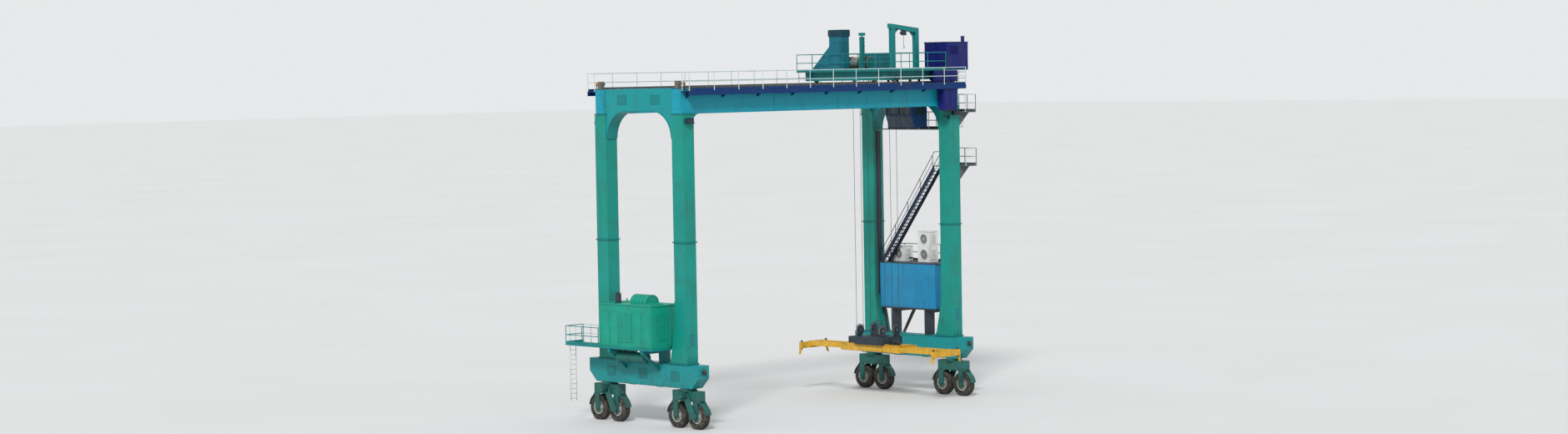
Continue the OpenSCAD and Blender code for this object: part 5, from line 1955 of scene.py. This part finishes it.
@dataclass
class Lift:
    """Rope falls, head block dressing and spreader dressing, drawn raised and set down by drop."""

    x: float = 8.4
    upper_z: float = 20.99
    lower_z: float = 16.67
    drop: float = 12.34
    sheave_x: float = 0.65
    sheave_y: float = 1.0
    frame_top: float = 15.76
    frame_x: float = 0.775
    arm_y: float = 5.9925
    arm_x: float = 1.2445
    lock_x: float = 1.1295
    arm_z: float = 15.0

    def lower(self, parts: list[Obj], name: str, finish: Finish,
              body: str = "spreader") -> None:
        """Sets parts down to the height at rest and dresses them as one piece.

        Args:
            parts: The parts.
            name: Name of the piece.
            finish: Its finish.
            body: The body that it rides on.
        """
        made = joined(parts, name)
        made.data.transform(Matrix.Translation((0, 0, -self.drop)))
        dress([made], name, finish, body)

    def falls(self) -> None:
        """The eight taut falls of rope, stretched between trolley and head block."""
        low = self.lower_z - self.drop
        falls = []
        for e in (-1, 1):
            for f in (-1, 1):
                x = self.x + e * self.sheave_x + f * ROPE_BEND
                for s in (-1, 1):
                    route = [(x, s * self.sheave_y, self.upper_z + (low - self.upper_z) * i / 24)
                             for i in range(25)]
                    falls.append(path_tube(route, ROPE_R, 2))
        piece = joined(falls, "hoist_rope_falls")
        piece.data.materials.clear()
        piece.data.materials.append(Finish.ROPE.material())
        take(piece)
        bpy.ops.object.shade_smooth_by_angle(angle=math.radians(60))
        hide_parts("hoist_ropes")
        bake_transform(piece)
        LOG.info("piece %s blends from trolley to spreader", piece.name)

    def sheaves(self) -> None:
        """Rims and hubs of the lower sheaves, and the rope under them."""
        rims, rope = [], []
        hub = [(0.0, -0.11), (0.07, -0.11), (0.07, 0.11), (0.0, 0.11)]
        for e in (-1, 1):
            for s in (-1, 1):
                at = (self.x + e * self.sheave_x, s * self.sheave_y, self.lower_z)
                rims += [turned(SHEAVE_RIM, at, Axis.Y, 48), turned(hub, at, Axis.Y, 24)]
                under = [(a, at[1], b) for a, b in arc(at[0], at[2], ROPE_BEND, 180, 360, 18)]
                rope.append(path_tube(under, ROPE_R, 2))
        self.lower(rims, "lower_sheave_rims", Finish.BARE)
        self.lower(rope, "lower_rope", Finish.ROPE)

    def plates(self) -> None:
        """Sheave guards, bolted covers, pins and cable gland of the head block."""
        plates = [block((self.x - 0.25, -0.45, 16.27), (self.x + 0.25, 0.45, 16.62), 0.02)]
        for e in (-1, 1):
            x = self.x + e * self.sheave_x
            guard = (arc(x, self.lower_z, 0.40, 150, 30, 12)
                     + arc(x, self.lower_z, 0.385, 30, 150, 12))
            for s in (-1, 1):
                y = s * self.sheave_y
                for side in (-1, 1):
                    plates.append(prism(guard, Axis.Y, y + side * 0.055, y + side * 0.085))
                x_pin, y_pin = self.x + e * 0.83, s * 1.12
                plates.append(rod((x_pin, y_pin, 16.26), (x_pin, y_pin, 16.5), 0.05, 16, 0.01))
                plates += hatch(self.x + e * 0.96, e, s * 0.62, 0.45, 15.85, 16.2, 0.12, 0.03,
                                0.008, 0.011)
        self.lower(plates, "head_block_plates", Finish.DARK)

    def basket(self) -> None:
        """The oval cable basket on the head block."""
        parts = []
        flat = 0.9
        for z in (16.64, 16.84, 17.04, 17.24):
            loop = [(self.x + a * flat, b, z) for a, b in arc(0, 0, 0.3, 0, 360, 18)]
            parts.append(path_tube(loop, 0.01, 2))
        for a, b in arc(0, 0, 0.3, 0, 330, 11):
            x = self.x + a * flat
            parts.append(rod((x, b, 16.62), (x, b, 17.25), 0.008, 6))
        self.lower(parts, "cable_basket", Finish.DARK)

    def frame(self) -> None:
        """Ribs, edge strips and twist pads of the spreader frame."""
        parts = []
        top = self.frame_top
        for y in (-2.63, -1.9, 1.9, 2.63):
            parts.append(block((self.x - 0.8, y - 0.02, top - 0.03),
                               (self.x + 0.8, y + 0.02, top + 0.03), 0.004))
            for s in (-1, 1):
                face = self.x + s * self.frame_x
                parts.append(block((face, y - 0.02, 15.3), (face + s * 0.03, y + 0.02, top), 0.004))
        for s in (-1, 1):
            face, pad = self.x + s * self.frame_x, self.x + s * 0.55
            for z in (15.33, 15.72):
                parts.append(block((face, -2.6, z - 0.012), (face + s * 0.025, 2.6, z + 0.012),
                                   0.003))
            for y in (-1.25, 1.25):
                parts.append(block((pad - 0.16, y - 0.11, top - 0.01),
                                   (pad + 0.16, y + 0.11, top + 0.06), 0.01))
        self.lower(parts, "spreader_ribs", Finish.YELLOW)

    def hydraulics(self) -> None:
        """Oil tank, motor and hoses on the spreader frame."""
        x, top = self.x, self.frame_top
        unit = [panel((x - 0.4, 1.45, top), (x + 0.4, 2.35, top + 0.42), (0, 0, 1), 0.05, 0.012,
                      0.015),
                rod((x - 0.1, -1.45, top + 0.19), (x - 0.1, -2.05, top + 0.19), 0.15, 24, 0.02),
                block((x - 0.25, -1.95, top), (x + 0.05, -1.55, top + 0.06), 0.01)]
        for i in range(4):
            start = x + 0.2 + 0.06 * i
            unit.append(path_tube([(start, 1.45, top + 0.12), (start, 1.36, top + 0.1),
                                   (start + 0.05, 1.3, top + 0.03),
                                   (start + 0.35, 1.28, top + 0.02), (x + 0.7, 1.4, top + 0.02),
                                   (x + 0.72, 2.5, top + 0.02)], ROPE_R, 2))
        self.lower(unit, "hydraulic_unit", Finish.DARK)

    def arms(self) -> None:
        """Guides, ribs, lock heads, collars and covers of the two telescopic arms."""
        for name, s in DEPTHS:
            y, z = s * self.arm_y, self.arm_z
            inner = y - s * 0.125
            parts = [panel((self.x - 0.5, y - 0.1, z + 0.63), (self.x + 0.5, y + 0.1, z + 0.68),
                           (0, 0, 1), 0.03, 0.01, 0.006)]
            guide = [(y - 0.1, z + 0.62), (y + 0.1, z + 0.62), (y + 0.1, z + 0.2),
                     (y + 0.096, z - 0.02), (y - 0.096, z - 0.02), (y - 0.1, z + 0.2)]
            for e in (-1, 1):
                face = self.x + e * self.arm_x
                parts.append(prism(guide, Axis.X, *sorted((face, face + e * 0.035)), 0.004))
                flare = [(face, z), (face + e * 0.035, z), (face + e * 0.1, z - 0.14),
                         (face + e * 0.075, z - 0.15)]
                parts.append(prism(flare, Axis.Y, y - 0.095, y + 0.095))
                rib = [(self.x + e * 0.78, inner), (self.x + e * 1.14, inner),
                       (self.x + e * 1.1, inner - s * 0.04), (self.x + e * 0.82, inner - s * 0.04)]
                parts.append(prism(rib, Axis.Z, z + 0.36, z + 0.38))
            for beam in (s * 0.62, -s * 0.35):
                x = self.x + beam
                parts.append(block((x - 0.12, inner, z + 0.36),
                                   (x + 0.12, inner - s * 0.03, z + 0.7), 0.005))
                spots = rim(x - 0.108, x + 0.108, z + 0.375, z + 0.685, 0.08)
                parts += bolts([(a, inner - s * 0.03, b) for a, b in spots], (0, -s, 0), 0.008)
            self.lower(parts, f"arm_fittings_{name}", Finish.YELLOW, f"arm_{name}")
            self.locks(name, y, y - s * 0.02)

    def locks(self, name: str, y: float, y_flag: float) -> None:
        """The two lock heads of an arm, with their caps and flags.

        Args:
            name: near or far.
            y: Middle of the arm.
            y_flag: Middle of the flags.
        """
        tip = [(0.0, -0.12), (0.02, -0.115), (0.052, -0.07), (0.055, -0.02), (0.04, 0.0),
               (0.0, 0.0)]
        parts, z = [], self.arm_z
        for x in (self.x - self.lock_x, self.x + self.lock_x):
            parts += [turned(tip, (x, y, z + 0.24), Axis.Z, 24),
                      rod((x, y, z + 0.64), (x, y, z + 0.72), 0.07, 20, 0.01),
                      block((x - 0.03, y_flag - 0.06, z + 0.66),
                            (x + 0.03, y_flag + 0.06, z + 0.76), 0.008)]
        self.lower(parts, f"arm_locks_{name}", Finish.DARK, f"arm_{name}")

    def build(self) -> None:
        """Builds all of it."""
        self.falls()
        self.sheaves()
        self.plates()
        self.basket()
        self.frame()
        self.hydraulics()
        self.arms()


@dataclass
class Bogie:
    """Drive, guards and caps of a bogie, modelled once and set under each leg."""

    y: float = 3.6
    axle_z: float = 0.78
    axle_y: float = 0.875
    motor_y: float = 0.18
    motor_z: float = 2.0
    ring_z: float = 2.285

    def forks(self) -> list[Obj]:
        """Bearing caps, ribs and mudguards at both wheels.

        Returns:
            The parts.
        """
        made = []
        cap = [(0.0, 0.0), (0.16, 0.0), (0.16, 0.03), (0.11, 0.06), (0.1, 0.085), (0.0, 0.085)]
        for e in (-1, 1):
            y = e * self.axle_y
            rib = [(y - 0.2, 1.66), (y + 0.2, 1.66), (y + 0.13, 1.05), (y - 0.13, 1.05)]
            stay = [(y + e * 0.15, 1.7), (y + e * 0.32, 1.7), (y + e * 0.5, 1.48),
                    (y + e * 0.45, 1.44)]
            for s in (-1, 1):
                made.append(turned([(r, s * t) for r, t in cap], (s * 0.303, y, self.axle_z),
                                   Axis.X, 28))
                spots = [(s * 0.333, a, b) for a, b in arc(y, self.axle_z, 0.135, 0, 315, 7)]
                made += bolts(spots, (s, 0, 0), 0.012)
                made += [prism(rib, Axis.X, s * 0.3, s * 0.32),
                         prism(stay, Axis.X, s * 0.235 - 0.01, s * 0.235 + 0.01)]
            top, end = (78, 8) if e > 0 else (102, 172)
            guard = (arc(y, self.axle_z, 0.855, top, end, 14)
                     + arc(y, self.axle_z, 0.84, end, top, 14))
            made.append(prism(guard, Axis.X, -0.24, 0.24))
        return made

    def slewing(self) -> list[Obj]:
        """Bolted ring under the sill beam, and strips along the bogie beam.

        Returns:
            The parts.
        """
        ring = [(0.47, 0.0), (0.53, 0.0), (0.53, 0.035), (0.47, 0.035)]
        spots = [(a, b, self.ring_z + 0.035) for a, b in arc(0, 0, 0.51, 0, 345, 23)]
        made = [turned(ring, (0, 0, self.ring_z), Axis.Z, 48)] + bolts(spots, (0, 0, 1), 0.014)
        for x in (-0.32, 0.32):
            made.append(block((x - 0.02, -1.1, 1.66), (x + 0.02, 1.1, 1.69), 0.004))
        return made

    def drive(self) -> list[Obj]:
        """Chain case, motor with fins, terminal box and sprocket cover.

        Returns:
            The parts.
        """
        y, z = self.motor_y, self.motor_z
        case = arc(self.axle_y, self.axle_z, 0.2, -90, 55, 12)
        case += [(0.36, 2.12), (0.2, 2.2), (0.02, 2.12), (0.0, 1.95), (0.62, self.axle_z - 0.12)]
        fin = [(0.165, 0.0), (0.19, 0.0), (0.19, 0.012), (0.165, 0.012)]
        made = spread(turned(fin, (0.56, y, z), Axis.X, 28),
                      [(0.035 * i, 0, 0) for i in range(1, 9)])
        made += [prism(case, Axis.X, 0.39, 0.5, 0.012),
                 rod((0.5, y, z), (0.92, y, z), 0.17, 28, 0.03),
                 block((0.6, y - 0.1, z + 0.15), (0.78, y + 0.1, z + 0.24), 0.012),
                 block((0.3, y - 0.2, z - 0.15), (0.5, y + 0.2, z + 0.15), 0.012),
                 rod((0.385, self.axle_y, self.axle_z), (0.52, self.axle_y, self.axle_z), 0.09, 20,
                     0.012)]
        return made

    def build(self) -> None:
        """Sets a copy under each leg, with the motor on the outer side."""
        first = joined(self.forks() + self.slewing() + self.drive(), "bogie_fittings")
        for name, sx, sy in LEGS:
            turn = Matrix.Rotation(math.pi if sx < 0 else 0.0, 4, "Z")
            place = Matrix.Translation((sx * LEG_X, sy * self.y, 0))
            dress([copied(first, place @ turn)], f"bogie_fittings_{name}", Finish.BOGIE,
                  f"bogie_{name}")
        bpy.data.objects.remove(first)


@dataclass
class Wheel:
    """Tyre, rim and hub, modelled once and set on all eight axles."""

    y: float = 3.6
    axle_z: float = 0.78
    axle_y: float = 0.875
    lugs: int = 40
    nuts: int = 12
    nut_r: float = 0.25

    def tyre(self) -> Obj:
        """The tyre round the origin, its axle along X, with its tread bars.

        Returns:
            The tyre.
        """
        side = [(0.402, 0.0), (0.402, 0.19), (0.42, 0.205), (0.47, 0.208), (0.5, 0.214),
                (0.6, 0.214), (0.66, 0.208), (0.72, 0.196), (0.757, 0.176), (0.768, 0.15),
                (0.768, 0.105), (0.752, 0.1), (0.752, 0.085), (0.768, 0.08), (0.768, 0.01)]
        profile = side + [(r, -t) for r, t in reversed(side)][:-1]
        lug = prism([(-0.036, 0.755), (0.036, 0.755), (0.03, 0.78), (-0.03, 0.78)], Axis.X, 0.104,
                    0.19)
        bar = prism([(-0.028, 0.755), (0.028, 0.755), (0.024, 0.779), (-0.024, 0.779)], Axis.X,
                    -0.07, 0.07)
        bar.data.transform(Matrix.Rotation(math.pi / self.lugs, 4, "X"))
        tread = joined([lug, copied(lug, Matrix.Diagonal((-1, 1, 1, 1))), bar], "tread")
        turns = [Matrix.Rotation(math.tau * i / self.lugs, 4, "X") for i in range(1, self.lugs)]
        parts = [turned(profile, (0, 0, 0), Axis.X, 72), tread]
        return joined(parts + [copied(tread, turn) for turn in turns], "tyre")

    def rim(self) -> Obj:
        """The rim with its hub and nuts, round the origin.

        Returns:
            The rim.
        """
        barrel = [(0.36, -0.2), (0.425, -0.212), (0.425, -0.2), (0.402, -0.19), (0.402, 0.19),
                  (0.425, 0.2), (0.425, 0.212), (0.36, 0.2), (0.35, 0.12), (0.33, 0.05),
                  (0.2, 0.045), (0.2, -0.045), (0.33, -0.05), (0.35, -0.12)]
        hub = [(0.0925, -0.256), (0.12, -0.256), (0.125, -0.2), (0.19, -0.12), (0.205, -0.06)]
        hub += [(r, -t) for r, t in reversed(hub)]
        parts = [turned(barrel, (0, 0, 0), Axis.X, 60), turned(hub, (0, 0, 0), Axis.X, 40)]
        ring = arc(0, 0, self.nut_r, 0, 360 - 360 / self.nuts, self.nuts - 1)
        for s in (-1, 1):
            parts += bolts([(s * 0.046, a, b) for a, b in ring], (s, 0, 0), 0.018)
        return joined(parts, "rim")

    def master(self) -> Obj:
        """The wheel round the origin, rubber and steel in one mesh.

        Returns:
            The piece.
        """
        rubber, steel = self.tyre(), self.rim()
        for obj in (rubber, steel):
            obj.data.materials.append(Finish.TYRE.material())
            obj.data.materials.append(Finish.RIM.material())
        for face in steel.data.polygons:
            face.material_index = 1
        return joined([rubber, steel], "wheel")

    def build(self) -> None:
        """Sets a copy on every axle, in place of the plain wheel."""
        first = self.master()
        take(first)
        bpy.ops.object.shade_smooth_by_angle(angle=math.radians(30))
        for name, sx, sy in LEGS:
            for letter, e in (("a", -1), ("b", 1)):
                at = (sx * LEG_X, sy * self.y + e * self.axle_y, self.axle_z)
                twin = copied(first, Matrix.Translation(at))
                node = f"wheel_{name}_{letter}"
                twin.name = twin.data.name = f"tyre_and_rim_{name}_{letter}"
                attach(twin, node)
                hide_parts(node)
                LOG.info("piece %s: %d faces", twin.name, len(twin.data.polygons))
        bpy.data.objects.remove(first)


@dataclass
class CadFinishes:
    """The finish of every CAD node that stays in view."""

    finishes: dict[Finish, tuple[str, ...]] = field(default_factory=lambda: {
        Finish.LEG: tuple(f"leg_{leg}" for leg, _, _ in LEGS),
        Finish.PORTAL: ("portal_left", "portal_right", "sill_left", "sill_right"),
        Finish.GIRDER: ("girder_near", "girder_far"),
        Finish.RAIL: ("trolley_rails",),
        Finish.WALK: ("walkway_near", "walkway_far"),
        Finish.POWER: ("power_house",),
        Finish.STEEL: ("power_platform", "service_gantry", "trolley_frame"),
        Finish.ELECTRIC: ("electrical_house",),
        Finish.DARK: ("electrical_platform", "floodlights", "cabin_hangers", "head_block"),
        Finish.STAIR: ("stair",),
        Finish.WHITE: ("air_conditioners",),
        Finish.LANDING: ("landings", "boarding_landing"),
        Finish.PALE: ("ladders",),
        Finish.MACHINE: ("hoist_drum",),
        Finish.BARE: ("trolley_wheels",),
        Finish.DECK: ("trolley_deck",),
        Finish.BOX: ("machine_box",),
        Finish.NAVY: ("trolley_house",),
        Finish.CABIN: ("cabin",),
        Finish.ROPE: ("hoist_ropes",),
        Finish.YELLOW: ("spreader_frame", "spreader_arm_near", "spreader_arm_far"),
        Finish.BOGIE: tuple(f"bogie_{leg}" for leg, _, _ in LEGS),
        Finish.TYRE: tuple(f"wheel_{leg}_{letter}" for leg, _, _ in LEGS for letter in "ab"),
    })

    def build(self) -> None:
        """Puts the finishes into the material slots of the nodes."""
        for finish, nodes in self.finishes.items():
            for name in nodes:
                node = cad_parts[name]
                if not node.material_slots:
                    node.data.materials.append(finish.material())
                for slot in node.material_slots:
                    slot.material = finish.material()
                LOG.info("node %s: %s", name, finish.value.name)


@dataclass
class Studio:
    """Floor, light and camera."""

    aim: Point = (0.0, 0.0, 12.1)
    camera: Point = (-136.5, -140.4, 21.5)
    lens: float = 71.0
    lean: float = -1.0
    sun: float = 2.3
    sun_way: Point = (0.72, 0.56, -0.72)
    sky: float = 0.62
    floor_size: float = 2400.0

    def floor(self) -> None:
        """A plain pale floor."""
        put_down()
        bpy.ops.mesh.primitive_plane_add(size=self.floor_size, location=(0, 0, -0.002))
        ground = placed(bpy.context.object)
        ground.name = "floor"
        material, w, shader = new_material("floor_pale")
        shade = w.remap(w.noise(0.05, detail=3.0), 0.3, 0.7)
        w.feed(shader.inputs["Base Color"],
               w.mix(shade, (0.70, 0.70, 0.69, 1), (0.72, 0.72, 0.715, 1)))
        shader.inputs["Roughness"].default_value = 0.9
        ground.data.materials.append(material)

    def light(self) -> None:
        """A broad sun from the left front and an even sky, paler where the camera sees it."""
        put_down()
        bpy.ops.object.light_add(type="SUN", location=(-60, -40, 60))
        lamp = bpy.context.object
        lamp.name = "sun"
        lamp.data.energy = self.sun
        lamp.data.angle = math.radians(12)
        lamp.rotation_euler = Vector(self.sun_way).to_track_quat("-Z", "Y").to_euler()
        world = bpy.data.worlds.new("studio")
        bpy.context.scene.world = world
        world.use_nodes = True
        w = Wiring(world.node_tree)
        back = next(n for n in world.node_tree.nodes if n.type == "BACKGROUND")
        seen = w.add("ShaderNodeBackground")
        for sky, colour, strength in ((back, (0.95, 0.97, 1.0, 1), self.sky),
                                      (seen, (0.80, 0.81, 0.82, 1), 1.0)):
            sky.inputs["Color"].default_value = colour
            sky.inputs["Strength"].default_value = strength
        path = w.add("ShaderNodeLightPath")
        rays = w.most(path.outputs["Is Camera Ray"], path.outputs["Is Transmission Ray"])
        rays = w.most(rays, path.outputs["Is Glossy Ray"])
        both = w.add("ShaderNodeMixShader")
        w.feed(both.inputs[0], rays)
        w.feed(both.inputs[1], back.outputs[0])
        w.feed(both.inputs[2], seen.outputs[0])
        out = next(n for n in world.node_tree.nodes if n.type == "OUTPUT_WORLD")
        w.feed(out.inputs["Surface"], both.outputs[0])
        bpy.context.scene.view_settings.view_transform = "Standard"

    def view(self) -> None:
        """The camera at the angle of the photograph."""
        put_down()
        bpy.ops.object.camera_add(location=self.camera)
        eye = bpy.context.object
        eye.name = "camera"
        way = Vector(self.aim) - Vector(self.camera)
        tilt = Quaternion((0, 0, 1), math.radians(self.lean))
        eye.rotation_euler = (way.to_track_quat("-Z", "Y") @ tilt).to_euler()
        eye.data.lens = self.lens
        eye.data.sensor_width = 36.0
        eye.data.clip_start = 1.0
        eye.data.clip_end = 5000.0
        bpy.context.scene.camera = eye

    def build(self) -> None:
        """Builds all of it."""
        self.view()
        self.floor()
        self.light()


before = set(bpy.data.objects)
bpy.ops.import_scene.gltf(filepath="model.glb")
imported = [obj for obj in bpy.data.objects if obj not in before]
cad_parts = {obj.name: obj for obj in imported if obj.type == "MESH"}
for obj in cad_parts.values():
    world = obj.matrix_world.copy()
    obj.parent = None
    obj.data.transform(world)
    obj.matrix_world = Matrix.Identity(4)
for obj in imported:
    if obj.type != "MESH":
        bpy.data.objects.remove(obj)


def main() -> None:
    logging.basicConfig(level=logging.INFO, format="%(message)s")
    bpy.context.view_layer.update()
    for part in (Studio(), CadFinishes(), Portals(), Girders(), PowerHouse(), ElectricalHouse(),
                 Floodlights(), Trolley(), Cabin(), Lift(), Bogie(), Wheel()):
        part.build()
    put_down()


if __name__ == "__main__":
    main()
